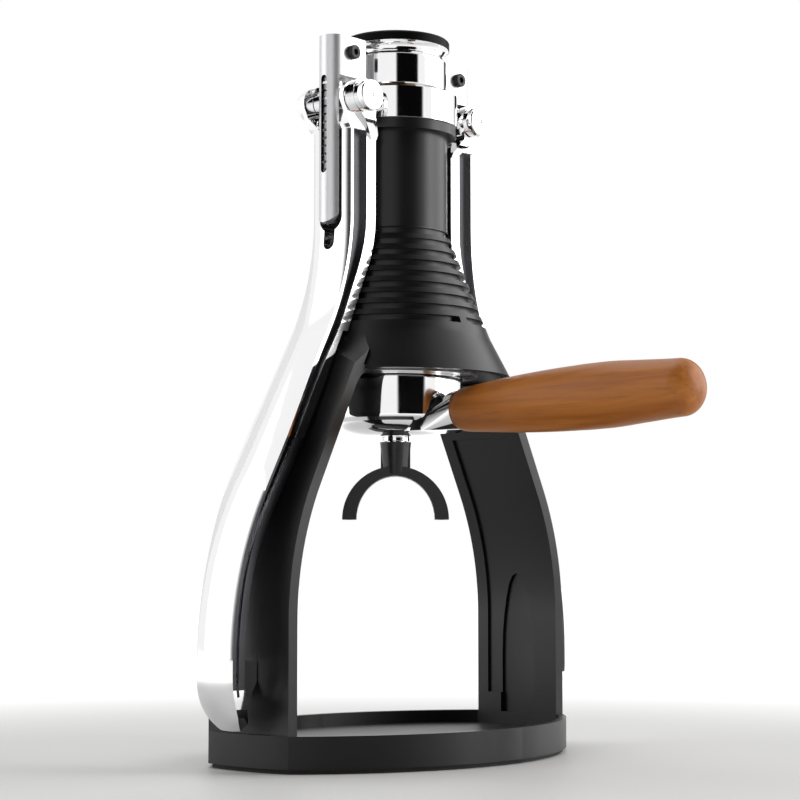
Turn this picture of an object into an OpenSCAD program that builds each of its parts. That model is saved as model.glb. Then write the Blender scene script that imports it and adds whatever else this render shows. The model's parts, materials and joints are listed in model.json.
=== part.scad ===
// Hand-powered espresso maker with two side levers.
// +Z is up, the handle of the filter holder points to -Y, and the levers hang at -X and +X.
// The origin is on the table, under the axis of the cylinder.

/* [Base and legs] */
// Length of the base from end to end, at its corners
base_length = 162; // [154:1:176]
// Width of the base at its ends
base_end_width = 42; // [38:1:48]
// Depth of the base across its middle
base_depth = 112; // [100:1:130]
// Height of the base rim above its underside
base_height = 12; // [10:0.5:15]
// Depth of the drip recess inside the rim
base_recess = 5; // [3:0.5:7]
// Thickness of the rim round the recess
rim_wall = 3; // [2:0.25:5]
// Thickness of the rubber pad under the base
pad_thick = 1.5; // [1:0.25:3]
// How far the edge of the pad lies inside the edge of the base
pad_inset = 1.5; // [1:0.25:4]
// Thickness of each leg
leg_thick = 4.5; // [4:0.25:6]
// Height at which the legs start to lean inwards
leg_bend_z = 55; // [45:1:65]
// Lean of the upper legs from the vertical
leg_lean = 26.7; // [24:0.1:29]
// Width of the shallow panel in the inner face of each leg
leg_panel_width = 31; // [20:1:34]
// Depth of that panel
leg_panel_depth = 1.2; // [0.5:0.1:2]
// Width of the pointed pocket at the foot of each leg
leg_pocket_width = 17; // [10:1:22]
// Depth of that pocket
leg_pocket_depth = 2.6; // [1.5:0.1:3.4]
// Height of the tip of that pocket
leg_pocket_top = 72; // [50:1:85]

/* [Bell and neck] */
// Height of the bottom edge of the bell
bell_bottom_z = 150; // [148:0.5:152]
// Radius of the bell at its bottom edge
bell_bottom_r = 45.8; // [45:0.1:47]
// Height of the plain band at the bottom of the bell
bell_band = 15; // [13:0.5:15.5]
// Radius of the bell at the top of its plain band
bell_mid_r = 38; // [37.5:0.1:38.5]
// Outer radius of the neck
neck_r = 20.8; // [20.5:0.1:21.2]
// Height at which the cone meets the neck
cone_top_z = 208; // [206:0.5:210]
// Number of grooves round the cone
groove_count = 9; // [6:1:9]
// Distance from one groove to the next
groove_pitch = 4.5; // [4.2:0.1:4.6]
// Width of a groove
groove_width = 2.5; // [1.4:0.1:2.6]
// Depth of the lowest groove
groove_depth = 3; // [1.6:0.1:3.2]
// Width of the bridge that breaks the lowest groove at the front
groove_bridge = 4; // [2:0.5:8]
// Radius of the lip on top of the neck
lip_r = 24.3; // [23:0.1:24.8]
// Thickness of that lip
lip_height = 4; // [3:0.25:5]
// Radial thickness of the wall of the bell
bell_wall = 4; // [3.5:0.1:4.4]
// Height of the hollow inside the bell
bell_hollow = 14; // [13.5:0.1:14.5]

/* [Cylinder and collar] */
// Height of the top face of the neck, on which the collar sits
neck_top_z = 251; // [250:0.5:252]
// Radius of the bore in which the piston slides
cylinder_r = 16.4; // [14:0.1:16.6]
// Wall of the steel cylinder liner
liner_wall = 1.6; // [1:0.1:1.9]
// Outer radius of the collar
collar_r = 25; // [24.6:0.1:25.4]
// Height of the collar
collar_height = 12.4; // [12:0.1:13]
// Height of the flange of the rod guide above the collar
guide_flange = 1; // [0.5:0.1:1.5]
// Pitch circle radius of the collar screws
screw_ring_r = 21.3; // [20.8:0.1:21.6]
// Shank radius of the collar screws
screw_r = 1.5; // [1:0.1:1.5]

/* [Hinges and gears] */
// Distance of each hinge from the middle plane
hinge_x = 32.8; // [32.6:0.1:33]
// Height of the hinges
hinge_z = 257; // [256.5:0.1:257.5]
// Module of the pinions and racks
gear_module = 1; // [0.98:0.01:1.02]
// Number of teeth of each pinion
pinion_teeth = 14; // [14:1:14]
// Face width of the pinions
pinion_width = 4; // [3:0.1:4.2]
// Backlash between pinion and rack
backlash = 0.16; // [0.1:0.02:0.3]
// Radius of the hinge shafts
shaft_r = 3; // [2.5:0.1:3.2]
// Wall of the bronze bushes
bush_wall = 0.9; // [0.7:0.1:1.2]
// Radial play of the shafts in the bushes
shaft_play = 0.04; // [0.02:0.01:0.08]
// Radius of the hinge bosses on the collar
boss_r = 5.2; // [5:0.1:5.3]
// Outer distance of the hinge bosses from the middle plane of the rails
boss_out = 9.4; // [9:0.1:9.6]
// Thickness of the ears of the levers
ear_thick = 4.2; // [3:0.1:5]
// Radius of the round caps on the hinges
cap_r = 6.2; // [5:0.1:6.4]
// Thickness of these caps
cap_thick = 4; // [3:0.1:5]

/* [Crown and rails] */
// Radius of the ring of the crown
crown_r = 20.6; // [20:0.1:20.9]
// Height of the underside of the crown with the levers down
crown_z = 265.5; // [265:0.1:266]
// Height of the crown ring below its groove
crown_ring = 12.3; // [11:0.1:13]
// Height of the groove under the black rim
crown_groove = 5; // [4:0.1:6]
// Radius of the black rim
rim_r = 21.8; // [21.3:0.1:22.2]
// Height of the black rim
rim_height = 3.8; // [3:0.1:5]
// Thickness of the wall of the crown
crown_wall = 2.4; // [1.8:0.1:3]
// Half width of each rail
rail_r = 5.6; // [5.5:0.05:5.7]
// Height of the lower end of the rails
rail_bottom_z = 207.9; // [207.5:0.1:208.5]
// Height of the heads of the rails
rail_head = 16; // [15:0.1:16.5]
// Wall of the rail behind the rack teeth
rail_back = 1.2; // [1.1:0.05:1.4]
// Width of the window in the outer face of the rails
window_width = 3; // [1.5:0.1:3.4]
// Lower end of that window
window_bottom_z = 227.4; // [225:0.1:232]
// Shank radius of the rail bolts
bolt_r = 1.5; // [1:0.1:1.6]
// Radius of the heads of the rail bolts
bolt_head_r = 2.8; // [2.4:0.1:3.2]

/* [Piston] */
// Radius of the piston rod
rod_r = 4.5; // [4:0.1:5]
// Radius of the water passage in the rod
rod_bore_r = 2; // [1.5:0.1:2.4]
// Radial play of the rod in its guide
rod_play = 0.05; // [0.02:0.01:0.08]
// Height of the piston head
piston_height = 12; // [10:0.5:16]
// Radial play of the piston seal in the cylinder
piston_play = 0.05; // [0.02:0.01:0.08]
// Clearance between the piston valve and the group head
piston_rest_gap = 1.5; // [1:0.1:3]

/* [Levers] */
// Distance of the outer face of the upper lever from the middle plane
lever_top_x = 38.3; // [38:0.1:38.8]
// Half width of the levers
lever_half_width = 10; // [9.8:0.1:10.4]
// Height at which the levers start to lean outwards
lever_bend_z = 212; // [211:0.5:214]
// Radius of the upper bend of the levers
lever_bend_r = 96; // [92:1:98]
// Lean of the middle of the levers
lever_lean = 29.2; // [28.8:0.1:29.4]
// Height at which the levers stop leaning outwards
lever_lower_z = 39.7; // [36:0.5:44]
// Distance from the base to the inner face of the lower levers
lever_base_gap = 10.7; // [9.5:0.1:12]
// Depth of the levers where they start
lever_top_depth = 15.5; // [14.5:0.1:16]
// Depth of the levers at their lower ends
lever_low_depth = 7.4; // [6.5:0.1:8.5]
// Crown of the outer face of the levers
lever_crown = 1.8; // [1:0.1:2.4]
// Depth of the recess in each side of the levers
lever_recess = 2.4; // [1:0.1:2.6]
// Clearance between the levers and the bell
lever_gap = 1; // [0.6:0.1:1.4]

/* [Group head and filter holder] */
// Outer radius of the group head
group_r = 33; // [32.6:0.1:33.2]
// Radius of the cup of the filter holder
cup_r = 27; // [26:0.1:27.2]
// Wall of that cup
cup_wall = 2.2; // [1.6:0.1:2.6]
// Height of the underside of the cup
cup_bottom_z = 131.5; // [130:0.5:134]
// Height of the top edge of the cup
cup_top_z = 157; // [156.8:0.1:157.2]
// Outer radius of the bayonet lugs
lug_r = 31; // [30:0.1:31.2]
// Clearance of the bayonet parts
bayonet_gap = 0.5; // [0.3:0.1:0.6]
// Radius of the nozzle under the cup
nozzle_r = 4.3; // [3.5:0.1:4.6]
// Half width of the inside of the spout arch at its ends
spout_inner = 15.6; // [14:0.1:16]
// Outer radius of the spout arch
spout_outer = 21.2; // [19:0.1:23]
// Width of the spout from front to back
spout_depth = 9; // [7:0.5:12]
// Turn of the spout from the line through both levers
spout_turn = -48; // [-90:1:90]
// Height of the ends of the spout
spout_z = 93.3; // [90:0.1:96]

/* [Handle] */
// Distance from the cylinder axis to the start of the wood
wood_start = 34.5; // [33:0.5:36]
// Length of the wooden handle
wood_length = 111; // [95:1:125]
// Diameter of the wood where it starts
wood_start_d = 16.5; // [14:0.5:18]
// Largest diameter of the wood
wood_max_d = 24.6; // [22:0.1:27]
// Diameter of the wood near its end
wood_end_d = 21; // [18:0.1:23]
// Rise of the handle above the horizontal
handle_rise = 1.6; // [0:0.1:3]
// Height of the handle where the wood starts
handle_z = 135.4; // [134:0.1:136]
// Radius of the steel stud inside the wood
stud_r = 3; // [2:0.1:4]

/* [Hidden] */
$fn = 96;
EPS = 0.01;          // overlap that keeps cuts clean
SEAT = 0.05;         // gap between pieces that are pressed or screwed together

// heights and radii that follow from the sizes above
base_z = pad_thick;
base_top_z = base_z + base_height;
base_floor_z = base_top_z - base_recess;
leg_in_x = base_length / 2 - leg_thick;
lip_z = neck_top_z - lip_height;
leg_top_x = bell_bottom_r - 3.8;       // inner face of a leg at the bottom edge of the bell
leg_bend_r = (leg_top_x - leg_in_x + (bell_bottom_z - leg_bend_z) * tan(leg_lean))
    * cos(leg_lean) / (1 - cos(leg_lean));
cone_slope = (bell_mid_r - (neck_r + 0.2)) / (cone_top_z - bell_bottom_z - bell_band);
groove_top_z = cone_top_z - 1.4;
hollow_top_z = bell_bottom_z + bell_hollow;
liner_r = cylinder_r + liner_wall;
collar_top_z = neck_top_z + collar_height;
pitch_r = gear_module * pinion_teeth / 2;
tooth_pitch = PI * gear_module;
addendum = 0.8 * gear_module;
dedendum = gear_module;
pitch_x = hinge_x + pitch_r;
rack_root_x = pitch_x + dedendum;
rail_out_x = rack_root_x + rail_back;
rail_mid_x = rail_out_x - rail_r;
rail_in_x = pitch_x - addendum - 0.4;
rail_groove = pinion_width / 2 + 0.2;
bush_r = shaft_r + shaft_play + bush_wall;
boss_in = pinion_width / 2 + 0.6;
ear_in = boss_out + 0.2;
ear_out = ear_in + ear_thick;
cap_out = ear_out + cap_thick;
drive_half = shaft_r * 0.7;           // half the side of the square shaft ends
crown_top_z = crown_z + crown_ring + crown_groove;
rim_top_z = crown_top_z + rim_height;
crown_floor = 3;
liner_floor = 1.5;
rail_head_z = crown_z + 0.5;
bolt_x = hinge_x - 0.8;
bolt_z = crown_z + 10.2;
tongue_half = 2.5;
plate_z = hollow_top_z - 2.5;          // underside of the top plate of the group head
valve_z = hollow_top_z + piston_rest_gap;
piston_z = valve_z + 1;
seal_z = piston_z + 4;
group_low_z = bell_bottom_z;
group_ring_r = cup_r + bayonet_gap;
slot_low_z = group_low_z + 2.5;
slot_top_z = slot_low_z + 5;
slot_r = lug_r + bayonet_gap + 0.3;
group_screw_head_r = (group_r - group_ring_r) / 2 - 0.55;
group_screw_r = group_screw_head_r - 1;
rim_z = cup_top_z;                     // the basket's rim lies on the cup
gasket_low_z = rim_z + 1.3;
nozzle_low_z = spout_z + 24;
stud_in = wood_start - cup_r + cup_wall / 2;   // how far the stud reaches into the neck
slot_half = rail_r + 0.4;              // half width of the fork of the levers
prong_low_z = rail_bottom_z - 3.4;

// ---------- helpers ----------

module both_sides() {
    children();
    mirror([1, 0, 0]) children();
}

// a cylinder along Y, from y0 to y1, with its axis at (x, z)
module rod_y(x, z, r, y0, y1, sides = $fn) {
    translate([x, y1, z]) rotate([90, 0, 0]) cylinder(r = r, h = y1 - y0, $fn = sides);
}

// a plate in the XZ plane, from y0 to y1
module plate_xz(y0, y1) {
    translate([0, y1, 0]) rotate([90, 0, 0]) linear_extrude(height = y1 - y0) children();
}

// a plate in the YZ plane, from x0 to x1: the outline's x is Y and its y is Z
module plate_yz(x0, x1) {
    translate([x0, 0, 0]) rotate([90, 0, 90]) linear_extrude(height = x1 - x0) children();
}

function arc_points(cx, cy, r, a0, a1, n) =
    [for (i = [0:n]) let (a = a0 + (a1 - a0) * i / n) [cx + r * cos(a), cy + r * sin(a)]];
function reversed(list) = [for (i = [len(list) - 1:-1:0]) list[i]];

// ---------- base, legs, bell and neck: one casting ----------

// outline of the base: two long arcs that meet short, gently curved ends
module base_outline(inset = 0) {
    half = base_length / 2;
    bulge = (base_depth - base_end_width) / 2;
    long_r = (half * half + bulge * bulge) / (2 * bulge);
    end_r = sqrt(half * half + pow(base_end_width / 2, 2));
    intersection() {
        translate([0, base_depth / 2 - long_r]) circle(r = long_r - inset, $fn = 180);
        translate([0, long_r - base_depth / 2]) circle(r = long_r - inset, $fn = 180);
        circle(r = end_r - inset, $fn = 180);
    }
}

// one face of a leg, seen from the front, a distance out from its inner face
function leg_face(out, low_z, high_z) =
    let (r = leg_bend_r + out, cx = leg_in_x - leg_bend_r,
         bend = arc_points(cx, leg_bend_z, r, 0, leg_lean, 14),
         last = bend[14], rest = (high_z - last[1]) * tan(leg_lean))
    concat([[leg_in_x + out, low_z]], bend, [[last[0] - rest, high_z]]);

module leg_band(out0, out1, low_z, high_z) {
    polygon(concat(leg_face(out0, low_z, high_z), reversed(leg_face(out1, low_z, high_z))));
}

module leg() {
    difference() {
        plate_xz(-base_end_width / 2, base_end_width / 2)
            leg_band(0, leg_thick, base_z, bell_bottom_z + bell_band);
        plate_xz(-leg_panel_width / 2, leg_panel_width / 2)
            leg_band(-1, leg_panel_depth, base_top_z + 8, bell_bottom_z - 22);
        intersection() {
            plate_xz(-leg_pocket_width / 2, leg_pocket_width / 2)
                leg_band(-1, leg_pocket_depth, base_top_z, leg_pocket_top);
            plate_yz(leg_in_x - 20, leg_in_x + leg_thick) pocket_outline();
        }
    }
}

// a pointed arch, as the pocket at the foot of a leg has
module pocket_outline() {
    half = leg_pocket_width / 2;
    straight = leg_pocket_top - 34;
    polygon(concat([[-half, base_top_z], [half, base_top_z]],
                   [for (i = [0:6]) [half * cos(i * 15), straight + 34 * sin(i * 15)]],
                   [for (i = [5:-1:0]) [-half * cos(i * 15), straight + 34 * sin(i * 15)]]));
}

function cone_r(z) = neck_r + 0.2 + cone_slope * (cone_top_z - z);
function groove_z(i) = groove_top_z - i * groove_pitch;
function groove_floor_r(i) =
    cone_r(groove_z(i)) - 1.5 - (groove_depth - 1.5) * min(1, i / 3);

module bell_profile() {
    polygon(concat(
        [[0, bell_bottom_z], [bell_bottom_r, bell_bottom_z], [bell_mid_r, bell_bottom_z + bell_band]],
        [for (i = [groove_count - 1:-1:0], k = [0:3])
            let (low = groove_z(i) - groove_width / 2, high = low + groove_width)
            k == 0 ? [cone_r(low), low] : k == 1 ? [groove_floor_r(i), low]
            : k == 2 ? [groove_floor_r(i), high] : [cone_r(high), high]],
        [[neck_r + 0.2, cone_top_z], [neck_r, cone_top_z + 0.6], [neck_r, lip_z],
         [lip_r, lip_z], [lip_r, neck_top_z], [0, neck_top_z]]));
}

// above the bottom edge of the bell the legs fade into its band along this hollow curve
module leg_trim() {
    corner_r = sqrt(pow(leg_top_x + leg_thick / cos(leg_lean), 2) + pow(base_end_width / 2, 2));
    rotate_extrude() polygon(concat(
        [[0, 0], [base_length, 0], [base_length, bell_bottom_z - 4 * bell_band]],
        [for (i = [0:6]) let (t = i / 6)
            [bell_bottom_r + (bell_mid_r - bell_bottom_r) * t
                + (corner_r + 1.2 - bell_bottom_r) * (1 - t) * (1 - t), bell_bottom_z + bell_band * t]],
        [[0, bell_bottom_z + bell_band]]));
}

// the rounded inner corner between a leg and the bottom edge of the bell
module arch_corner() {
    r = 12;
    reach = r / tan(45 + leg_lean / 2);
    plate_xz(-base_end_width / 2, base_end_width / 2) polygon(concat(
        arc_points(leg_top_x - reach, bell_bottom_z - r, r, 90, leg_lean, 10),
        [[leg_top_x + 5.5, bell_bottom_z - 5], [leg_top_x + 1, bell_bottom_z + 1],
         [leg_top_x - reach, bell_bottom_z + 1]]));
}

module frame_casting() {
    roof_r = bell_mid_r - bell_wall + 0.4;
    color([0.05, 0.05, 0.055]) difference() {
        union() {
            translate([0, 0, base_z]) linear_extrude(height = base_height) base_outline();
            rotate_extrude() bell_profile();
            intersection() {
                both_sides() {
                    leg();
                    arch_corner();
                }
                leg_trim();
            }
            bridge();
        }
        translate([0, 0, base_floor_z]) linear_extrude(height = base_recess + EPS) intersection() {
            base_outline(rim_wall);
            square([2 * leg_in_x, base_depth], center = true);
        }
        rotate_extrude() polygon([[0, bell_bottom_z - 1],
            [bell_bottom_r - bell_wall + 0.5, bell_bottom_z - 1],
            [bell_bottom_r - bell_wall, bell_bottom_z], [roof_r, hollow_top_z], [0, hollow_top_z]]);
        translate([0, 0, hollow_top_z - EPS]) cylinder(r = liner_r + SEAT, h = neck_top_z - hollow_top_z + 1);
        collar_screw_places() translate([0, 0, lip_z + 0.4]) cylinder(r = screw_r + SEAT, h = lip_height + 1);
        group_screw_places() translate([0, 0, hollow_top_z - 1]) cylinder(r = group_screw_r + SEAT, h = 6.5);
    }
}

// the short bridge that interrupts the lowest groove at the front
module bridge() {
    z = groove_z(groove_count - 1);
    intersection() {
        translate([-groove_bridge / 2, -bell_bottom_r, z - groove_width / 2])
            cube([groove_bridge, bell_bottom_r - 20, groove_width]);
        rotate_extrude() polygon([[20, z - groove_width / 2], [cone_r(z - groove_width / 2), z - groove_width / 2],
                                  [cone_r(z + groove_width / 2), z + groove_width / 2], [20, z + groove_width / 2]]);
    }
}

module base_pad() {
    color([0.03, 0.03, 0.03]) linear_extrude(height = pad_thick) base_outline(pad_inset);
}

// ---------- cylinder and collar ----------

module cylinder_liner() {
    color("lightsteelblue") translate([0, 0, hollow_top_z]) difference() {
        cylinder(r = liner_r, h = neck_top_z - hollow_top_z);
        translate([0, 0, -1]) cylinder(r = cylinder_r, h = neck_top_z - hollow_top_z + 2);
    }
}

module collar_screw_places() {
    for (a = [45:90:315]) rotate(a) translate([screw_ring_r, 0, 0]) children();
}

module collar() {
    web = 5;    // thickness of the top web that carries the rod guide
    color([0.8, 0.8, 0.82]) difference() {
        union() {
            translate([0, 0, neck_top_z]) cylinder(r = collar_r, h = collar_height);
            both_sides() for (side = [-1, 1]) hinge_boss(side);
        }
        translate([0, 0, neck_top_z - 1]) cylinder(r = cylinder_r + 0.4, h = collar_height - web + 1);
        translate([0, 0, neck_top_z]) cylinder(r = rod_r + 2.5 + SEAT, h = collar_height + 1);
        collar_screw_places() {
            translate([0, 0, neck_top_z - 1]) cylinder(r = screw_r + SEAT, h = collar_height + 2);
            translate([0, 0, collar_top_z - 3]) cylinder(r = 2 * screw_r + 0.1, h = 4);
        }
        both_sides() {
            rod_y(hinge_x, hinge_z, bush_r + SEAT / 5, -boss_out - 1, boss_out + 1);
            rod_y(hinge_x, hinge_z, pitch_r + addendum + 0.8, -boss_in, boss_in);
        }
    }
}

// one hinge boss, on a web that grows out of the collar
module hinge_boss(side) {
    y0 = side > 0 ? boss_in : -boss_out;
    plate_xz(y0, y0 + boss_out - boss_in) {
        translate([hinge_x, hinge_z]) circle(r = boss_r);
        polygon([[14, neck_top_z], [hinge_x, hinge_z - boss_r], [hinge_x, hinge_z + boss_r],
                 [collar_r - 3, collar_top_z], [14, collar_top_z]]);
    }
}

module collar_screws() {
    color("dimgray") collar_screw_places() difference() {
        union() {
            translate([0, 0, lip_z + 0.6]) cylinder(r = screw_r, h = lip_height + collar_height - 2);
            translate([0, 0, collar_top_z - 3]) cylinder(r = 2 * screw_r, h = 2.8);
        }
        translate([0, 0, collar_top_z - 1.6]) cylinder(r = screw_r, h = 2, $fn = 6);
    }
}

module rod_guide() {
    color("darkkhaki") difference() {
        union() {
            translate([0, 0, collar_top_z - 5]) cylinder(r = rod_r + 2.5, h = 5 + guide_flange);
            translate([0, 0, collar_top_z]) cylinder(r = rod_r + 4, h = guide_flange);
        }
        translate([0, 0, collar_top_z - 6]) cylinder(r = rod_r + rod_play, h = 8 + guide_flange);
    }
}

module hinge_bushes() {
    color("darkgoldenrod") both_sides() for (side = [-1, 1]) difference() {
        rod_y(hinge_x, hinge_z, bush_r, side > 0 ? boss_in : -boss_out, side > 0 ? boss_out : -boss_in);
        rod_y(hinge_x, hinge_z, shaft_r + shaft_play, -boss_out - 1, boss_out + 1);
    }
}

// ---------- group head, inside the bell ----------

module group_screw_places() {
    for (a = [30:120:270]) rotate(a) translate([(group_ring_r + group_r) / 2, 0, 0]) children();
}

module group_head() {
    color("silver") difference() {
        translate([0, 0, group_low_z]) cylinder(r = group_r, h = hollow_top_z - group_low_z);
        translate([0, 0, group_low_z - 1]) cylinder(r = group_ring_r, h = plate_z - group_low_z + 1);
        translate([0, 0, slot_low_z]) cylinder(r = slot_r, h = slot_top_z - slot_low_z);
        translate([0, 0, plate_z - 1]) cylinder(r = cylinder_r, h = 5);
        // gaps in the lower lip, by which the bayonet lugs enter
        for (a = [0, 180]) rotate(a - 45) translate([0, 0, group_low_z - 1])
            rotate(-24) rotate_extrude(angle = 48) translate([cup_r - 2, 0]) square([slot_r - cup_r + 1.8, 6]);
        group_screw_places() translate([0, 0, slot_top_z - 1]) {
            cylinder(r = group_screw_r + SEAT, h = 10);
            cylinder(r = group_screw_head_r + 0.1, h = 4);
        }
    }
}

module group_screws() {
    color("dimgray") group_screw_places() {
        translate([0, 0, slot_top_z + 0.6]) cylinder(r = group_screw_head_r, h = 2.4);
        translate([0, 0, slot_top_z + 2]) cylinder(r = group_screw_r, h = hollow_top_z + 5 - slot_top_z - 2);
    }
}

module group_gasket() {
    color([0.5, 0.15, 0.1]) translate([0, 0, gasket_low_z]) difference() {
        cylinder(r = group_ring_r - SEAT, h = plate_z - gasket_low_z);
        translate([0, 0, -1]) cylinder(r = cup_r - cup_wall - 2.4, h = plate_z - gasket_low_z + 2);
    }
}

module shower_screen() {
    hole_r = 0.8;
    color("gainsboro") translate([0, 0, plate_z - 1]) difference() {
        cylinder(r = cup_r - cup_wall - 2.8, h = 1);
        for (ring = [1:3], a = [0:360 / (8 * ring):359]) rotate(a)
            translate([2 + 5 * ring, 0, -1]) cylinder(r = hole_r, h = 3, $fn = 16);
        translate([0, 0, -1]) cylinder(r = screw_r + SEAT, h = 3);
    }
}

module shower_screw() {
    // the screw is held by a thin spider that lies in the mouth of the cylinder
    color("dimgray") {
        translate([0, 0, plate_z - 2.2]) cylinder(r = 3, h = 1.2);
        translate([0, 0, plate_z - 1.5]) cylinder(r = screw_r, h = 3.2);
        for (a = [0:120:240]) rotate(a) translate([0, -0.8, plate_z])
            cube([cylinder_r - SEAT, 1.6, 1.6]);
    }
}

// ---------- crown, rails and piston: they rise together ----------

module crown_ring() {
    waist_r = crown_r - 1.3;
    inner_r = crown_r - crown_wall;
    color([0.8, 0.8, 0.82]) difference() {
        union() {
            rotate_extrude() polygon(concat(
                [[0, crown_z], [crown_r - 0.4, crown_z], [crown_r, crown_z + 0.4],
                 [crown_r, crown_z + crown_ring - 0.4], [crown_r - 0.4, crown_z + crown_ring]],
                [for (i = [1:7]) let (t = i / 8)
                    [waist_r + 4 * (t - 0.45) * (t - 0.45) * 1.6, crown_z + crown_ring + crown_groove * t]],
                [[rim_r - 0.3, crown_top_z], [0, crown_top_z]]));
            both_sides() translate([inner_r + 0.5, -tongue_half, crown_z + 2.5])
                cube([rail_mid_x - 2.4 - inner_r, 2 * tongue_half, rail_head - 5]);
        }
        translate([0, 0, crown_z + crown_floor]) cylinder(r = inner_r, h = 40);
        translate([0, 0, crown_z - 1]) cylinder(r = rod_r - 0.6 + SEAT, h = crown_floor + 2);
        both_sides() rod_y(bolt_x, bolt_z, bolt_r + SEAT, -tongue_half - 1, tongue_half + 1);
    }
}

module well_liner() {
    outer_r = crown_r - crown_wall - SEAT;
    color([0.04, 0.04, 0.04]) rotate_extrude() polygon([
        [rod_r, crown_z + crown_floor], [outer_r, crown_z + crown_floor], [outer_r, crown_top_z],
        [rim_r, crown_top_z], [rim_r, rim_top_z - 0.8], [rim_r - 0.8, rim_top_z],
        [rim_r - 2.2, rim_top_z], [outer_r - 1.5, crown_top_z - 1],
        [outer_r - 1.5, crown_z + crown_floor + liner_floor + 1.5],
        [outer_r - 4, crown_z + crown_floor + liner_floor], [rod_r, crown_z + crown_floor + liner_floor]]);
}

// one rack tooth space after another, along the groove of the rail
module rack_cut() {
    half_gap = (tooth_pitch / 2 + backlash / 2) / 2;
    tip = half_gap + (addendum + 0.5) * tan(20);
    root = half_gap - dedendum * tan(20);
    low = ceil((window_bottom_z - hinge_z) / tooth_pitch);
    high = floor((crown_z - hinge_z - 2) / tooth_pitch);
    plate_xz(-rail_groove, rail_groove) for (k = [low:high]) translate([0, hinge_z + k * tooth_pitch])
        polygon([[rail_in_x - 0.1, -tip], [rack_root_x, -root], [rack_root_x, root], [rail_in_x - 0.1, tip]]);
    // the teeth stand a little lower than the cheeks of the groove
    translate([rail_in_x - 1, -rail_groove, window_bottom_z])
        cube([pitch_x - addendum - rail_in_x + 1, 2 * rail_groove, crown_z - window_bottom_z - 2]);
}

// a rail on the +X side: a half-round bar with a rack inside and a head on top
module rail() {
    head_top_z = rail_head_z + rail_head;
    head_in_x = crown_r + 3.2;
    color([0.75, 0.75, 0.78]) difference() {
        union() {
            intersection() {
                translate([rail_mid_x, 0, rail_bottom_z]) cylinder(r = rail_r, h = head_top_z - rail_bottom_z);
                plate_yz(rail_in_x, rail_out_x + 1) {
                    translate([0, rail_bottom_z + rail_r]) circle(r = rail_r);
                    translate([-rail_r, rail_bottom_z + rail_r])
                        square([2 * rail_r, head_top_z - rail_bottom_z - rail_r]);
                }
            }
            translate([rail_mid_x, 0, rail_head_z]) cylinder(r = rail_r, h = rail_head);
            translate([head_in_x, -rail_r, rail_head_z]) cube([rail_mid_x - head_in_x, 2 * rail_r, rail_head]);
        }
        rack_cut();
        // window that shows the teeth from outside
        plate_yz(rack_root_x - EPS, rail_out_x + 1) {
            translate([0, window_bottom_z + window_width / 2]) circle(d = window_width);
            translate([-window_width / 2, window_bottom_z + window_width / 2])
                square([window_width, rail_head_z - window_bottom_z - window_width]);
            translate([0, rail_head_z - window_width / 2]) circle(d = window_width);
        }
        // slot for the tongue of the crown
        translate([head_in_x - 1, -tongue_half - SEAT, rail_head_z - 1])
            cube([rail_mid_x - head_in_x, 2 * (tongue_half + SEAT), rail_head - 1]);
        rod_y(bolt_x, bolt_z, bolt_r + SEAT, -rail_r - 1, rail_r + 1);
    }
}

module rail_right() { rail(); }
module rail_left() { mirror([1, 0, 0]) rail(); }

module rail_bolts() {
    color([0.08, 0.08, 0.08]) both_sides() difference() {
        union() {
            rod_y(bolt_x, bolt_z, bolt_r, -rail_r - 1, rail_r + 2.2);
            rod_y(bolt_x, bolt_z, bolt_head_r, -rail_r - 1.9, -rail_r);
            rod_y(bolt_x, bolt_z, bolt_head_r - 0.5, -rail_r - 2.4, -rail_r - 1.9);
        }
        rod_y(bolt_x, bolt_z, bolt_r - 0.1, -rail_r - 3, -rail_r - 1.2, 6);
    }
}

module rail_nuts() {
    color([0.12, 0.12, 0.12]) both_sides() difference() {
        rod_y(bolt_x, bolt_z, bolt_head_r, rail_r, rail_r + 2, 6);
        rod_y(bolt_x, bolt_z, bolt_r + SEAT, rail_r - 1, rail_r + 3);
    }
}

module piston_rod() {
    color("silver") difference() {
        union() {
            translate([0, 0, piston_z + 3]) cylinder(r = rod_r, h = crown_z - piston_z - 3);
            translate([0, 0, piston_z]) cylinder(r = rod_r - 1.2, h = 4);
            translate([0, 0, crown_z - 1]) cylinder(r = rod_r - 0.6, h = 9.5);
        }
        translate([0, 0, piston_z - 1]) cylinder(r = rod_bore_r, h = crown_z - piston_z + 20);
    }
}

module rod_nut() {
    color("dimgray") difference() {
        translate([0, 0, crown_z + crown_floor + liner_floor]) cylinder(r = rod_r + 2, h = 3.4, $fn = 6);
        translate([0, 0, crown_z]) cylinder(r = rod_r - 0.6 + SEAT, h = 12);
    }
}

module piston_head() {
    body_r = cylinder_r - 0.5;
    color("whitesmoke") difference() {
        translate([0, 0, piston_z]) cylinder(r = body_r, h = piston_height);
        translate([0, 0, seal_z]) difference() {
            cylinder(r = body_r + 1, h = 3);
            translate([0, 0, -1]) cylinder(r = body_r - 2, h = 5);
        }
        translate([0, 0, piston_z + 3]) cylinder(r = rod_r + SEAT, h = piston_height);
        translate([0, 0, piston_z - 1]) cylinder(r = rod_r - 1.2 + SEAT, h = 6);
        for (a = [0:60:300]) rotate(a) translate([body_r * 0.62, 0, piston_z + 8])
            cylinder(r = 2.4, h = piston_height);
    }
}

module piston_seal() {
    color([0.15, 0.15, 0.15]) translate([0, 0, seal_z + 0.1]) difference() {
        cylinder(r = cylinder_r - piston_play, h = 2.8);
        translate([0, 0, -1]) cylinder(r = cylinder_r - 2.5 + SEAT, h = 5);
    }
}

module piston_valve() {
    color([0.6, 0.6, 0.6]) translate([0, 0, valve_z]) difference() {
        cylinder(r = rod_r + 3, h = 1);
        for (a = [0:90:270]) rotate(a + 45) translate([rod_r + 1.6, 0, -1]) cylinder(r = 0.8, h = 3, $fn = 24);
    }
}

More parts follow.
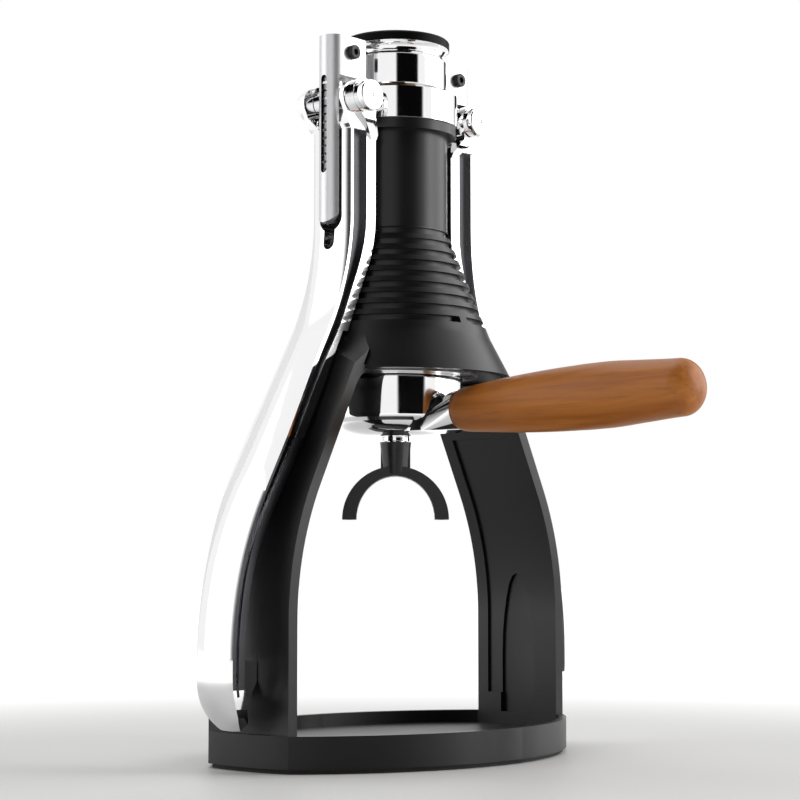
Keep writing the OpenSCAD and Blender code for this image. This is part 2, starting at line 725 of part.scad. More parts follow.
// ---------- pinion shafts ----------

function involute(base_r, t) =
    [base_r * (cos(t) + t * PI / 180 * sin(t)), base_r * (sin(t) - t * PI / 180 * cos(t))];
function turned(p, a) = [p[0] * cos(a) - p[1] * sin(a), p[0] * sin(a) + p[1] * cos(a)];

// one flank of a pinion tooth, from the base circle to the tip
function flank(base_r, tip_r, steps) =
    let (t_max = sqrt(pow(tip_r / base_r, 2) - 1) * 180 / PI)
    [for (i = [0:steps]) involute(base_r, t_max * i / steps)];

module pinion_outline() {
    base_r = pitch_r * cos(20);
    root_r = pitch_r - dedendum - 0.02;
    tip_r = pitch_r + addendum;
    inv20 = (tan(20) - 20 * PI / 180) * 180 / PI;
    half_tooth = 90 / pinion_teeth - backlash / 4 / pitch_r * 180 / PI;
    one = flank(base_r, tip_r, 5);
    polygon([for (k = [0:pinion_teeth - 1]) let (mid = k * 360 / pinion_teeth)
        each concat(
            [turned([root_r, 0], mid - half_tooth - inv20)],
            [for (p = one) turned(p, mid - half_tooth - inv20)],
            [for (p = reversed(one)) turned([p[0], -p[1]], mid + half_tooth + inv20)],
            [turned([root_r, 0], mid + half_tooth + inv20)])]);
}

// a shaft on the +X side, with its pinion and square ends that drive the ears
module pinion_shaft() {
    color("gray") difference() {
        union() {
            translate([hinge_x, 0, hinge_z]) plate_xz(-pinion_width / 2, pinion_width / 2) pinion_outline();
            rod_y(hinge_x, hinge_z, shaft_r, -ear_in, ear_in);
            translate([hinge_x - drive_half, -ear_out + 0.3, hinge_z - drive_half])
                cube([2 * drive_half, 2 * (ear_out - 0.3), 2 * drive_half]);
        }
        for (side = [-1, 1]) rod_y(hinge_x, hinge_z, 1.2, side > 0 ? ear_out - 7 : -ear_out, side > 0 ? ear_out : 7 - ear_out);
    }
}

module pinion_shaft_right() { pinion_shaft(); }
module pinion_shaft_left() { mirror([1, 0, 0]) pinion_shaft(); }

// ---------- levers ----------

// Places along the outer face of a lever, from the top down. It runs straight down, bends outwards,
// runs straight at its lean and bends back. The last two lengths follow from where it has to end.
lean_c = cos(lever_lean);
lean_s = sin(lever_lean);
lower_x = base_length / 2 + lever_base_gap + lever_low_depth;
lower_z = lever_lower_z;
run_x = lower_x - lever_top_x - lever_bend_r * (1 - lean_c);
run_z = lever_bend_z - lower_z - lever_bend_r * lean_s;
lever_straight = (run_x * lean_s - run_z * (1 - lean_c)) / (1 - lean_c);
lever_lower_r = (run_z * lean_s - run_x * lean_c) / (1 - lean_c);
bend1_x = lever_top_x + lever_bend_r * (1 - lean_c);
bend1_z = lever_bend_z - lever_bend_r * lean_s;
bend2_x = bend1_x + lever_straight * lean_s;
bend2_z = bend1_z - lever_straight * lean_c;
toe_r = 2.4 * lever_half_width;
toe_z = lower_z - 0.6 * lever_half_width;
toe_lean = -52;
lever_start_z = hinge_z - 9;
recess_top_z = lever_start_z - 3.5;

// width and depth change along the lever: each follows the share of the way down
function blend(t, a, b) = a + (b - a) * (3 * t * t - 2 * t * t * t);
function share(u, a, b) = max(0, min(1, (u - a) / (b - a)));
function way_down(z) = (lever_start_z - z) / (lever_start_z - toe_z);
function half_width(z) = let (u = way_down(z))
    u < 0.4 ? lever_half_width * blend(share(u, 0.17, 0.39), 1, 0.94)
    : u < 0.62 ? lever_half_width * blend(share(u, 0.4, 0.61), 0.94, 1.1)
    : lever_half_width * blend(share(u, 0.64, 0.81), 1.1, 0.95);
function lever_depth(z) = let (u = way_down(z))
    u < 0.34 ? blend(share(u, 0.18, 0.34), lever_top_depth, 0.75 * lever_top_depth)
    : u < 0.6 ? blend(share(u, 0.34, 0.5), 0.75 * lever_top_depth, 0.62 * lever_top_depth)
    : blend(share(u, 0.63, 0.82), 0.62 * lever_top_depth, lever_low_depth);

// one station: [x, z, lean, half width, depth]
function station(x, z, lean) = [x, z, lean, half_width(z), lever_depth(z)];
lever_stations = concat(
    [station(lever_top_x, lever_start_z, 0), station(lever_top_x, recess_top_z, 0),
     station(lever_top_x, (recess_top_z + lever_bend_z) / 2, 0)],
    [station(lever_top_x, lever_bend_z + 0.5, 0)],
    [for (i = [1:9]) let (a = lever_lean * i / 9)
        station(lever_top_x + lever_bend_r * (1 - cos(a)), lever_bend_z - lever_bend_r * sin(a), a)],
    [for (i = [1:4]) let (t = i / 5)
        station(bend1_x + (bend2_x - bend1_x) * t, bend1_z + (bend2_z - bend1_z) * t, lever_lean)],
    [for (i = [0:8]) let (a = lever_lean * (1 - i / 9))
        station(lower_x - lever_lower_r * (1 - cos(a)), lower_z + lever_lower_r * sin(a), a)],
    [station(lower_x, lower_z + 0.6, 0), station(lower_x, toe_z - 0.4, 0)],
    [for (i = [1:6]) let (a = toe_lean * i / 6, t = i / 6)
        [lower_x - toe_r * (1 - cos(a)), toe_z + toe_r * sin(a), a,
         0.95 * lever_half_width * sqrt(1 - 0.9 * t * t * t), lever_low_depth * (1 - 0.48 * t * t)]]);
last_station = len(lever_stations) - 1;
toe_end_z = toe_z - 0.75 * toe_r;

// a point a distance inwards from the crest of a lever, at one station
function inward(s, p) = [s[0] - p * cos(s[2]), s[1] - p * sin(s[2])];
// thickness of the flange between the side recess and the inner face
function inner_flange(s) = min(5.2, 0.42 * s[4]);

// what lies outside the slightly crowned outer face of a lever, in section
module beyond_crown() {
    w = 1.2 * lever_half_width;
    polygon(concat([for (i = [-8:8]) let (y = i / 8) [1.2 * lever_crown * pow(abs(y), 2.2), y * w]],
                   [[-6, w], [-6, -w]]));
}

// The outer face is cut piece by piece: straights by extrusion and bends by revolution.
// The bends are cut a hair deeper than the straights, and the straights run a little past each joint,
// where they then cut nothing more. So no thin fin is left standing between two cuts.
module crown_cuts() {
    hair = 0.04;
    past = 0.3;
    translate([lever_top_x, 0, lever_start_z + 1]) rotate([0, 180, 0])
        linear_extrude(height = lever_start_z + 1 - lever_bend_z + past) beyond_crown();
    translate([lever_top_x + lever_bend_r, 0, lever_bend_z]) rotate([0, 180, 0]) rotate([90, 0, 0])
        rotate_extrude(angle = lever_lean) translate([lever_bend_r + hair, 0]) beyond_crown();
    translate([bend1_x - past * lean_s, 0, bend1_z + past * lean_c]) rotate([0, 180 - lever_lean, 0])
        linear_extrude(height = lever_straight + 2 * past) beyond_crown();
    translate([lower_x - lever_lower_r, 0, lower_z]) rotate([90, 0, 0])
        rotate_extrude(angle = lever_lean) translate([lever_lower_r - hair, 0])
            mirror([1, 0]) beyond_crown();
    translate([lower_x, 0, lower_z + past]) rotate([0, 180, 0])
        linear_extrude(height = lower_z - toe_z + 2 * past) beyond_crown();
    translate([lower_x - toe_r, 0, toe_z]) rotate([90, 0, 0]) rotate(toe_lean - 8)
        rotate_extrude(angle = 8 - toe_lean) translate([toe_r - hair, 0]) mirror([1, 0]) beyond_crown();
}

// front view of a lever, a distance in from its edges
module front_outline(inset) {
    polygon(concat([for (s = lever_stations) [s[3] - inset, s[1] - (s[1] < toe_end_z ? 3 : 0)]],
        [for (s = reversed(lever_stations)) [inset - s[3], s[1] - (s[1] < toe_end_z ? 3 : 0)]]));
}

module lever_bar() {
    w = 1.15 * lever_half_width;
    inner = [for (s = lever_stations) inward(s, s[4])];
    flange = [for (i = [1:last_station - 4])
        inward(lever_stations[i], lever_stations[i][4] - inner_flange(lever_stations[i]))];
    difference() {
        intersection() {
            plate_xz(-w, w) polygon(concat([for (s = lever_stations) inward(s, -1)], reversed(inner)));
            plate_yz(0, base_length) front_outline(0);
        }
        crown_cuts();
        // the recess along each side leaves an outer and an inner flange
        difference() {
            plate_xz(-w, w) polygon(concat(
                [for (i = [1:last_station - 4]) inward(lever_stations[i], lever_crown + 1.1)],
                reversed(flange)));
            plate_yz(0, base_length) front_outline(lever_recess);
        }
    }
}

// An ear, seen from the front: a round boss on an arm that runs down to the inner flange.
// Its lower edge leaves a diagonal step against the shoulder of the lever.
module ear_arm() {
    in_x = lever_top_x - lever_top_depth;
    translate([hinge_x, hinge_z]) circle(r = cap_r + 0.8);
    polygon([[hinge_x + 6.3, hinge_z - 2.9], [lever_top_x - 9.6, recess_top_z + 0.2],
             [in_x + 3, recess_top_z - 3], [in_x, recess_top_z - 3], [in_x, recess_top_z - 1],
             [in_x + 4.2, lever_start_z + 1.5],
             [hinge_x - 6.3, hinge_z - 2.9]]);
}

module ear_shoulder() {
    translate([hinge_x + 4.4, hinge_z - 0.6]) circle(r = cap_r - 0.2);
    polygon([[hinge_x, hinge_z + 5.4], [hinge_x + 5.6, hinge_z + 5.3], [hinge_x + 9.8, hinge_z - 3],
             [lever_top_x + 0.6, lever_start_z - 2], [lever_top_x - 0.4, recess_top_z + 0.2],
             [lever_top_x - 9, recess_top_z + 0.2], [hinge_x - 3, hinge_z - 4]]);
}

// what an ear may fill, seen from the side: it steps outwards above the fork
module ear_side(out) {
    polygon([[slot_half, recess_top_z - 4], [lever_half_width - 0.1, recess_top_z - 4],
             [out, lever_start_z + 1], [out, hinge_z + 12],
             [ear_in, hinge_z + 12], [ear_in, hinge_z - 6.6], [slot_half, lever_start_z - 2]]);
}

module lever_ear(out) {
    intersection() {
        plate_xz(-out, out) children();
        plate_yz(0, hinge_x + 20) {
            ear_side(out);
            mirror([1, 0]) ear_side(out);
        }
    }
}

module lever() {
    color([0.85, 0.85, 0.87]) difference() {
        union() {
            lever_bar();
            lever_ear(ear_out) ear_arm();
            lever_ear(lever_half_width + 1.6) ear_shoulder();
            lever_toe();
        }
        // fork that clears the rail, with a narrower slot under it
        plate_yz(0, hinge_x + 20) {
            translate([-slot_half, prong_low_z + slot_half]) square([2 * slot_half, 60]);
            translate([0, prong_low_z + slot_half]) circle(r = slot_half);
            translate([-2.8, prong_low_z - 4.2]) square([5.6, 10]);
            translate([0, prong_low_z - 4.2]) circle(r = 2.8);
        }
        // the inner face is scalloped to clear the bell and the neck
        rotate_extrude() polygon([[0, bell_bottom_z - 4], [bell_bottom_r + lever_gap + 2, bell_bottom_z - 4],
            [bell_bottom_r + lever_gap, bell_bottom_z],
            [bell_mid_r + lever_gap, bell_bottom_z + bell_band], [neck_r + lever_gap, cone_top_z],
            [neck_r + lever_gap, lip_z - 2], [lip_r + lever_gap, lip_z - 1], [lip_r + lever_gap, neck_top_z],
            [0, neck_top_z]]);
        // and it clears the leg below the bell
        plate_xz(-base_end_width, base_end_width)
            leg_band(-leg_thick, leg_thick + lever_gap, leg_bend_z, bell_bottom_z + bell_band);
        // square holes for the shaft
        translate([hinge_x - drive_half - SEAT, -ear_out - 1, hinge_z - drive_half - SEAT])
            cube([2 * (drive_half + SEAT), 2 * ear_out + 2, 2 * (drive_half + SEAT)]);
    }
}

// the toe at the lower end, which stops against the leg
module lever_toe() {
    stop_x = base_length / 2 + 0.3;
    plate_xz(-5, 5) polygon([[stop_x, toe_z - 1], [stop_x, toe_z + 6], [lower_x - 0.8 * lever_low_depth, toe_z + 8],
                             [lower_x - 0.8 * lever_low_depth, toe_z - 8], [stop_x + 3, toe_z - 6]]);
}

module lever_right() { lever(); }
module lever_left() { mirror([1, 0, 0]) lever(); }

// a pair of round caps on the +X side, with a groove behind the disc and a dimple in front
module hinge_caps() {
    color([0.85, 0.85, 0.87]) for (side = [0, 1]) mirror([0, side, 0])
        translate([hinge_x, ear_out, hinge_z]) rotate([-90, 0, 0]) {
            rotate_extrude() polygon([[0, 0], [cap_r - 0.4, 0], [cap_r - 0.4, 0.9], [cap_r - 1, 0.9],
                [cap_r - 1, 1.5], [cap_r, 1.5], [cap_r, cap_thick - 0.7], [cap_r - 0.7, cap_thick],
                [0.9, cap_thick], [0.5, cap_thick - 0.5], [0, cap_thick - 0.5]]);
            translate([0, 0, -6]) cylinder(r = 1.15, h = 6.1);
        }
}

module hinge_caps_right() { hinge_caps(); }
module hinge_caps_left() { mirror([1, 0, 0]) hinge_caps(); }

// ---------- filter holder ----------

// a frame in which Z runs out along the handle, from the point where the wood starts
module along_handle() {
    translate([0, -wood_start, handle_z]) rotate([90 - handle_rise, 0, 0]) children();
}

module portafilter_body() {
    inner_r = cup_r - cup_wall;
    floor_z = cup_bottom_z + 3;
    color([0.78, 0.78, 0.8]) difference() {
        union() {
            rotate_extrude() polygon(concat(
                [[0, cup_bottom_z - 5.5]],
                [for (i = [0:7]) let (a = i * 90 / 7) [8 + 15 * sin(a), cup_bottom_z - 5.5 + 5.5 * (1 - cos(a))]],
                [[cup_r - 2.6, cup_bottom_z], [cup_r - 0.5, cup_bottom_z + 1.2], [cup_r, cup_bottom_z + 2.5],
                 [cup_r, cup_top_z], [0, cup_top_z]]));
            for (a = [0, 180]) rotate(a - 20) translate([0, 0, slot_low_z + 0.4])
                rotate_extrude(angle = 40) translate([cup_r - 1, 0]) square([lug_r - cup_r + 1, 4]);
            handle_neck();
        }
        translate([0, 0, floor_z]) cylinder(r = inner_r, h = 60);
        translate([0, 0, cup_bottom_z - 8]) cylinder(r = nozzle_r - 1.2 + SEAT, h = 20);
        translate([0, 0, cup_bottom_z - 8]) cylinder(r = nozzle_r + SEAT, h = 6);
        along_handle() translate([0, 0, -stud_in]) cylinder(r = stud_r + SEAT, h = 20);
    }
}

// the neck between cup and handle: a tapering bar with a flat top and a rounded underside
module handle_neck() {
    difference() {
        hull() {
            along_handle() translate([0, 0, -1.2]) cylinder(d = wood_start_d - 1, h = 1.2, $fn = 32);
            along_handle() translate([0, 0, -7]) cylinder(d = wood_start_d - 1.5, h = 1, $fn = 32);
            translate([0, -cup_r + 8, cup_bottom_z - 4]) cylinder(r = 12, h = 4, $fn = 32);
        }
        translate([0, 0, cup_bottom_z + 0.5]) cylinder(r = cup_r - 1, h = 40);
        // the upper surface falls towards the cup
        translate([-20, -cup_r - 3, cup_bottom_z + 8]) rotate([28, 0, 0]) cube([40, 30, 20]);
    }
}

module filter_basket() {
    r = cup_r - cup_wall - 0.4;
    low_z = cup_bottom_z + 4.5;
    color("gainsboro") difference() {
        union() {
            translate([0, 0, low_z]) cylinder(r = r, h = rim_z - low_z);
            translate([0, 0, rim_z]) cylinder(r = cup_r - 0.3, h = 1);
        }
        translate([0, 0, low_z + 0.8]) cylinder(r = r - 0.8, h = 60);
        for (ring = [1:3], a = [0:360 / (8 * ring):359]) rotate(a)
            translate([1.5 + 5.5 * ring, 0, low_z - 1]) cylinder(r = 0.7, h = 3, $fn = 16);
    }
}

// the wire ring that keeps the basket in the cup
module basket_spring() {
    color("gray") translate([0, 0, cup_bottom_z + 20]) rotate(20)
        rotate_extrude(angle = 320) translate([cup_r - cup_wall - 0.2, 0]) circle(r = 0.18, $fn = 16);
}

module handle_stud() {
    color("silver") along_handle() translate([0, 0, -stud_in]) cylinder(r = stud_r, h = stud_in + wood_length * 0.6);
}

module wood_handle() {
    end_r = wood_end_d / 2;
    grip = wood_length - end_r * 0.75;
    color([0.72, 0.36, 0.13]) along_handle() difference() {
        rotate_extrude() polygon(concat(
            [[0, 0], [wood_start_d / 2 - 0.8, 0]],
            [for (i = [0:12]) let (t = i / 12)
                [wood_start_d / 2 + (wood_max_d - wood_start_d) / 2 * sin(90 * pow(t, 0.9)),
                 1 + (wood_length * 0.62 - 1) * t]],
            [for (i = [1:5]) let (t = i / 6)
                [blend(t, wood_max_d / 2, end_r), wood_length * 0.62 + (grip - wood_length * 0.62) * t]],
            [for (i = [0:8]) let (a = i * 90 / 8) [end_r * cos(a), grip + (wood_length - grip) * sin(a)]]));
        translate([0, 0, -1]) cylinder(r = stud_r + SEAT, h = 2 + wood_length * 0.6);
    }
}

module nozzle() {
    color([0.8, 0.8, 0.82]) difference() {
        union() {
            translate([0, 0, nozzle_low_z]) cylinder(r = nozzle_r, h = cup_bottom_z - 2 - nozzle_low_z);
            translate([0, 0, cup_bottom_z - 2.1]) cylinder(r = nozzle_r - 1.2, h = 5);
            translate([0, 0, cup_bottom_z - 5.4 - 1.6]) cylinder(r = nozzle_r + 1.2, h = 1.5);
        }
        translate([0, 0, nozzle_low_z - 1]) cylinder(r = nozzle_r - 2, h = 60);
        translate([0, 0, nozzle_low_z + 1.9]) difference() {
            cylinder(r = nozzle_r + 1, h = 1.8);
            translate([0, 0, -1]) cylinder(r = nozzle_r - 0.8, h = 4);
        }
    }
}

// ---------- twin spout ----------

module twin_spout() {
    top_z = cup_bottom_z - 5.4 - 2;
    apex = spout_outer - 3.9;
    color([0.05, 0.05, 0.05]) rotate(spout_turn) difference() {
        union() {
            translate([0, 0, spout_z + spout_outer - 3]) cylinder(r1 = 5, r2 = 6.2, h = top_z - spout_z - spout_outer + 3);
            plate_xz(-spout_depth / 2, spout_depth / 2) translate([0, spout_z]) difference() {
                circle(r = spout_outer);
                scale_ellipse(spout_inner, apex);
                translate([-30, -60]) square(60);
            }
            for (a = [0, 90, 180, 270]) rotate(a) translate([5, -0.7, spout_z + spout_outer - 2])
                cube([0.9, 1.4, top_z - spout_z - spout_outer + 1]);
        }
        translate([0, 0, nozzle_low_z - 1]) cylinder(r = nozzle_r + 0.05, h = 20);
        translate([0, 0, spout_z + apex + 1.4]) cylinder(r = nozzle_r - 1.6, h = 12);
        // the two channels, open underneath
        plate_xz(-spout_depth / 2 + 1.6, spout_depth / 2 - 1.6) translate([0, spout_z]) difference() {
            circle(r = spout_outer - 1.5);
            scale_ellipse(spout_inner + 1.5, apex + 1.4);
            translate([-30, -60 - 1]) square(60);
        }
        for (side = [-1, 1]) translate([side * (spout_inner + spout_outer) / 2 - 1.3, -spout_depth / 2 + 1.6, spout_z - 1])
            cube([2.6, spout_depth - 3.2, 6]);
    }
}

// an ellipse drawn as a fine polygon
module scale_ellipse(rx, ry) {
    polygon([for (i = [0:47]) let (a = i * 7.5) [rx * cos(a), ry * sin(a)]]);
}

module spout_seal() {
    color([0.5, 0.15, 0.1]) translate([0, 0, nozzle_low_z + 2]) difference() {
        cylinder(r = nozzle_r - 0.05, h = 1.6);
        translate([0, 0, -1]) cylinder(r = nozzle_r - 0.75, h = 4);
    }
}

// ---------- what is drawn ----------

frame_casting();
base_pad();
cylinder_liner();
collar();
collar_screws();
rod_guide();
hinge_bushes();
group_head();
group_screws();
group_gasket();
shower_screen();
shower_screw();
crown_ring();
well_liner();
rail_left();
rail_right();
rail_bolts();
rail_nuts();
piston_rod();
rod_nut();
piston_head();
piston_seal();
piston_valve();
lever_left();
pinion_shaft_left();
hinge_caps_left();
lever_right();
pinion_shaft_right();
hinge_caps_right();
portafilter_body();
filter_basket();
basket_spring();
handle_stud();
wood_handle();
nozzle();
twin_spout();
spout_seal();
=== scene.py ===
# %% [markdown]
# # A two-lever hand espresso maker
# This scene dresses a finished solid model: a black arched casting, polished levers that gear a crown
# up and down, and a filter holder with a wooden handle. The solid model already has every part in its
# place, so the scene adds what a solid model lacks: softened edges, finishes and light.
# Everything is in metres, with +Z up, the handle pointing to -Y and the levers at -X and +X.

# %% Load the solid model
import json
import math

import bmesh
import bpy
from mathutils import Matrix, Vector


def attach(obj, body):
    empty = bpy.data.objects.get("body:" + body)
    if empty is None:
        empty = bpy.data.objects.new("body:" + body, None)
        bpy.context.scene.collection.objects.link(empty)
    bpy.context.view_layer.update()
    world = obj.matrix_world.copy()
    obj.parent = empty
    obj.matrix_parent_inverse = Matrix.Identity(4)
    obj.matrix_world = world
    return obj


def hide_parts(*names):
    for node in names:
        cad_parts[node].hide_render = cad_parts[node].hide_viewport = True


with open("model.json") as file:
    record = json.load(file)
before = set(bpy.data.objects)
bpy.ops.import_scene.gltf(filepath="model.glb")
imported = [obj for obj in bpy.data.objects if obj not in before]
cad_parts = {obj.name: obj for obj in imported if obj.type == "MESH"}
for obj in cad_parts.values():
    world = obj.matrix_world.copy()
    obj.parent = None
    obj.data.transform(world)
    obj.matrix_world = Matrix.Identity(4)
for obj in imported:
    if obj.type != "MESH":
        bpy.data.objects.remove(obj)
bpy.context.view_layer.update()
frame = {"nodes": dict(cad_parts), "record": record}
nodes = frame["nodes"]
mm = 0.001

# %% [markdown]
# ## The camera
# The photograph was taken from the front left, a little below the middle of the object, and it looks
# slightly upwards, because the top of the crown shows no opening while the top of the base does.
# A long lens was found by matching the edges of the base, the arch, the collar and the crown in the
# picture with their real sizes. The camera is set from that distance, turn and height directly.

# %% Place the camera
CAMERA_TURN = math.radians(-48.0)
CAMERA_DISTANCE = 832.1 * mm
CAMERA_HEIGHT = 73.3 * mm
CAMERA_PITCH = math.radians(4.662)
CAMERA_YAW = math.radians(0.123)
FOCAL_PIXELS = 2084.8
SENSOR = 36.0

camera_data = bpy.data.cameras.new("photo_camera")
camera = bpy.data.objects.new("photo_camera", camera_data)
bpy.context.scene.collection.objects.link(camera)
bpy.context.scene.camera = camera
towards = Vector((-math.sin(CAMERA_TURN), math.cos(CAMERA_TURN), 0.0))
sideways = Vector((math.cos(CAMERA_TURN), math.sin(CAMERA_TURN), 0.0))
aim = towards * math.cos(CAMERA_YAW) + sideways * math.sin(CAMERA_YAW)
aim = aim * math.cos(CAMERA_PITCH) + Vector((0.0, 0.0, math.sin(CAMERA_PITCH)))
camera.location = -towards * CAMERA_DISTANCE + Vector((0.0, 0.0, CAMERA_HEIGHT))
camera.rotation_euler = aim.to_track_quat("-Z", "Y").to_euler()
camera_data.sensor_fit = "HORIZONTAL"
camera_data.sensor_width = SENSOR
camera_data.lens = FOCAL_PIXELS / 800 * SENSOR
camera_data.clip_start = 0.01
camera_data.clip_end = 50
print("lens %.1f mm at %.3f m" % (camera_data.lens, CAMERA_DISTANCE))

# %% [markdown]
# ## Helpers for node trees
# Every finish below is a node tree. These two helpers keep the cells short: one makes a node and sets
# its sockets by name, the other starts a shader node group with named inputs and outputs. A number
# that is the same all over a surface always goes straight onto the shader's own socket.

# %% Node helpers
def add_node(tree, kind, settings=None, **values):
    made = tree.nodes.new(kind)
    for name, value in (settings or {}).items():
        setattr(made, name, value)
    for name, value in values.items():
        made.inputs[name.replace("_", " ")].default_value = value
    return made


def start_group(name, inputs, outputs):
    group = bpy.data.node_groups.new(name, "ShaderNodeTree")
    for label, kind, value in inputs:
        socket = group.interface.new_socket(label, in_out="INPUT", socket_type=kind)
        if value is not None:
            socket.default_value = value
    for label, kind in outputs:
        group.interface.new_socket(label, in_out="OUTPUT", socket_type=kind)
    return group, group.nodes.new("NodeGroupInput"), group.nodes.new("NodeGroupOutput")


def use_group(tree, group, **values):
    placed = tree.nodes.new("ShaderNodeGroup")
    placed.node_tree = group
    for name, value in values.items():
        placed.inputs[name.replace("_", " ")].default_value = value
    return placed

# %% [markdown]
# ## Shared surface effects
# Three effects come back in many finishes. Handling marks are the faint smears that a hand leaves on
# polished metal. Fine grain is the pebbled skin of powder coat, moulded plastic and rubber. Turning
# lines are the rings that a lathe leaves. Each could be painted by hand, but a noise or wave texture
# on object coordinates needs no unwrapping and keeps its true scale on every piece.

# %% Handling marks
marks_group, marks_in, marks_out = start_group(
    "handling marks",
    [("Vector", "NodeSocketVector", None), ("Size", "NodeSocketFloat", 60.0),
     ("Low", "NodeSocketFloat", 0.04), ("High", "NodeSocketFloat", 0.12)],
    [("Roughness", "NodeSocketFloat"), ("Mask", "NodeSocketFloat")])
smear = add_node(marks_group, "ShaderNodeTexNoise", Detail=3.0, Roughness=0.55, Distortion=0.8)
remap = add_node(marks_group, "ShaderNodeMapRange", From_Min=0.35, From_Max=0.7)
marks_group.links.new(marks_in.outputs["Vector"], smear.inputs["Vector"])
marks_group.links.new(marks_in.outputs["Size"], smear.inputs["Scale"])
marks_group.links.new(smear.outputs["Fac"], remap.inputs["Value"])
marks_group.links.new(marks_in.outputs["Low"], remap.inputs["To Min"])
marks_group.links.new(marks_in.outputs["High"], remap.inputs["To Max"])
marks_group.links.new(remap.outputs["Result"], marks_out.inputs["Roughness"])
marks_group.links.new(smear.outputs["Fac"], marks_out.inputs["Mask"])

# %% Fine grain
grain_group, grain_in, grain_out = start_group(
    "fine grain",
    [("Vector", "NodeSocketVector", None), ("Size", "NodeSocketFloat", 2500.0),
     ("Dark", "NodeSocketColor", (0.02, 0.02, 0.02, 1)), ("Light", "NodeSocketColor", (0.04, 0.04, 0.04, 1)),
     ("Low", "NodeSocketFloat", 0.45), ("High", "NodeSocketFloat", 0.6)],
    [("Color", "NodeSocketColor"), ("Roughness", "NodeSocketFloat"), ("Height", "NodeSocketFloat")])
pebble = add_node(grain_group, "ShaderNodeTexNoise", Detail=2.0, Roughness=0.6)
cloud = add_node(grain_group, "ShaderNodeTexNoise", Scale=35.0, Detail=3.0)
tone = add_node(grain_group, "ShaderNodeMix", {"data_type": "RGBA"})
sheen = add_node(grain_group, "ShaderNodeMapRange", From_Min=0.3, From_Max=0.7)
grain_group.links.new(grain_in.outputs["Vector"], pebble.inputs["Vector"])
grain_group.links.new(grain_in.outputs["Size"], pebble.inputs["Scale"])
grain_group.links.new(grain_in.outputs["Vector"], cloud.inputs["Vector"])
grain_group.links.new(cloud.outputs["Fac"], tone.inputs["Factor"])
grain_group.links.new(grain_in.outputs["Dark"], tone.inputs[6])
grain_group.links.new(grain_in.outputs["Light"], tone.inputs[7])
grain_group.links.new(cloud.outputs["Fac"], sheen.inputs["Value"])
grain_group.links.new(grain_in.outputs["Low"], sheen.inputs["To Min"])
grain_group.links.new(grain_in.outputs["High"], sheen.inputs["To Max"])
grain_group.links.new(tone.outputs[2], grain_out.inputs["Color"])
grain_group.links.new(sheen.outputs["Result"], grain_out.inputs["Roughness"])
grain_group.links.new(pebble.outputs["Fac"], grain_out.inputs["Height"])

# %% Turning lines
turning_group, turning_in, turning_out = start_group(
    "turning lines",
    [("Vector", "NodeSocketVector", None), ("Pitch", "NodeSocketFloat", 1500.0),
     ("Low", "NodeSocketFloat", 0.2), ("High", "NodeSocketFloat", 0.34)],
    [("Roughness", "NodeSocketFloat"), ("Height", "NodeSocketFloat")])
rings = add_node(turning_group, "ShaderNodeTexWave", {"wave_type": "BANDS", "bands_direction": "Z"},
                 Distortion=1.5, Detail=2.0)
matt = add_node(turning_group, "ShaderNodeMapRange")
turning_group.links.new(turning_in.outputs["Vector"], rings.inputs["Vector"])
turning_group.links.new(turning_in.outputs["Pitch"], rings.inputs["Scale"])
turning_group.links.new(rings.outputs["Fac"], matt.inputs["Value"])
turning_group.links.new(turning_in.outputs["Low"], matt.inputs["To Min"])
turning_group.links.new(turning_in.outputs["High"], matt.inputs["To Max"])
turning_group.links.new(matt.outputs["Result"], turning_out.inputs["Roughness"])
turning_group.links.new(rings.outputs["Fac"], turning_out.inputs["Height"])
print("shared effects:", [group.name for group in (marks_group, grain_group, turning_group)])

# %% [markdown]
# ## Metal finishes
# Each function below makes one kind of finish. The levers, the collar and the crown are polished until
# they mirror the room, so their look comes from the light more than from the finish, and only faint
# smears tell that it is metal. The rails and the parts inside are turned or milled, and their fine lines
# blur what they mirror. Real grooves would take millions of faces, so a bump does it.

# %% Metal finishes
def start_finish(name):
    finish = bpy.data.materials.new(name)
    finish.use_nodes = True
    tree = finish.node_tree
    shader = tree.nodes["Principled BSDF"]
    place = tree.nodes.new("ShaderNodeTexCoord").outputs["Object"]
    return finish, tree, shader, place


def polished(name, color, low, high):
    finish, tree, shader, place = start_finish(name)
    shader.inputs["Metallic"].default_value = 1.0
    marks = use_group(tree, marks_group, Size=55.0, Low=low, High=high)
    tree.links.new(place, marks.inputs["Vector"])
    tree.links.new(marks.outputs["Roughness"], shader.inputs["Roughness"])
    tint = add_node(tree, "ShaderNodeMix", {"data_type": "RGBA"})
    tint.inputs[6].default_value = (*color, 1)
    tint.inputs[7].default_value = (*[c * 0.93 for c in color], 1)
    tree.links.new(marks.outputs["Mask"], tint.inputs["Factor"])
    tree.links.new(tint.outputs[2], shader.inputs["Base Color"])
    return finish


def turned(name, color, low, high, pitch=1500.0, bump=0.04):
    finish, tree, shader, place = start_finish(name)
    shader.inputs["Base Color"].default_value = (*color, 1)
    shader.inputs["Metallic"].default_value = 1.0
    lines = use_group(tree, turning_group, Pitch=pitch, Low=low, High=high)
    tree.links.new(place, lines.inputs["Vector"])
    tree.links.new(lines.outputs["Roughness"], shader.inputs["Roughness"])
    relief = add_node(tree, "ShaderNodeBump", Strength=bump, Distance=0.0002)
    tree.links.new(lines.outputs["Height"], relief.inputs["Height"])
    tree.links.new(relief.outputs["Normal"], shader.inputs["Normal"])
    return finish

# %% [markdown]
# ## Coated and moulded finishes
# The casting is powder coated: nearly black, with a soft sheen and a very fine pebble. Moulded plastic,
# rubber and blackened steel are alike but for their tone, gloss and size of grain, so one function makes
# them all. The tone is kept very low, because most of what the eye sees on black is its sheen.

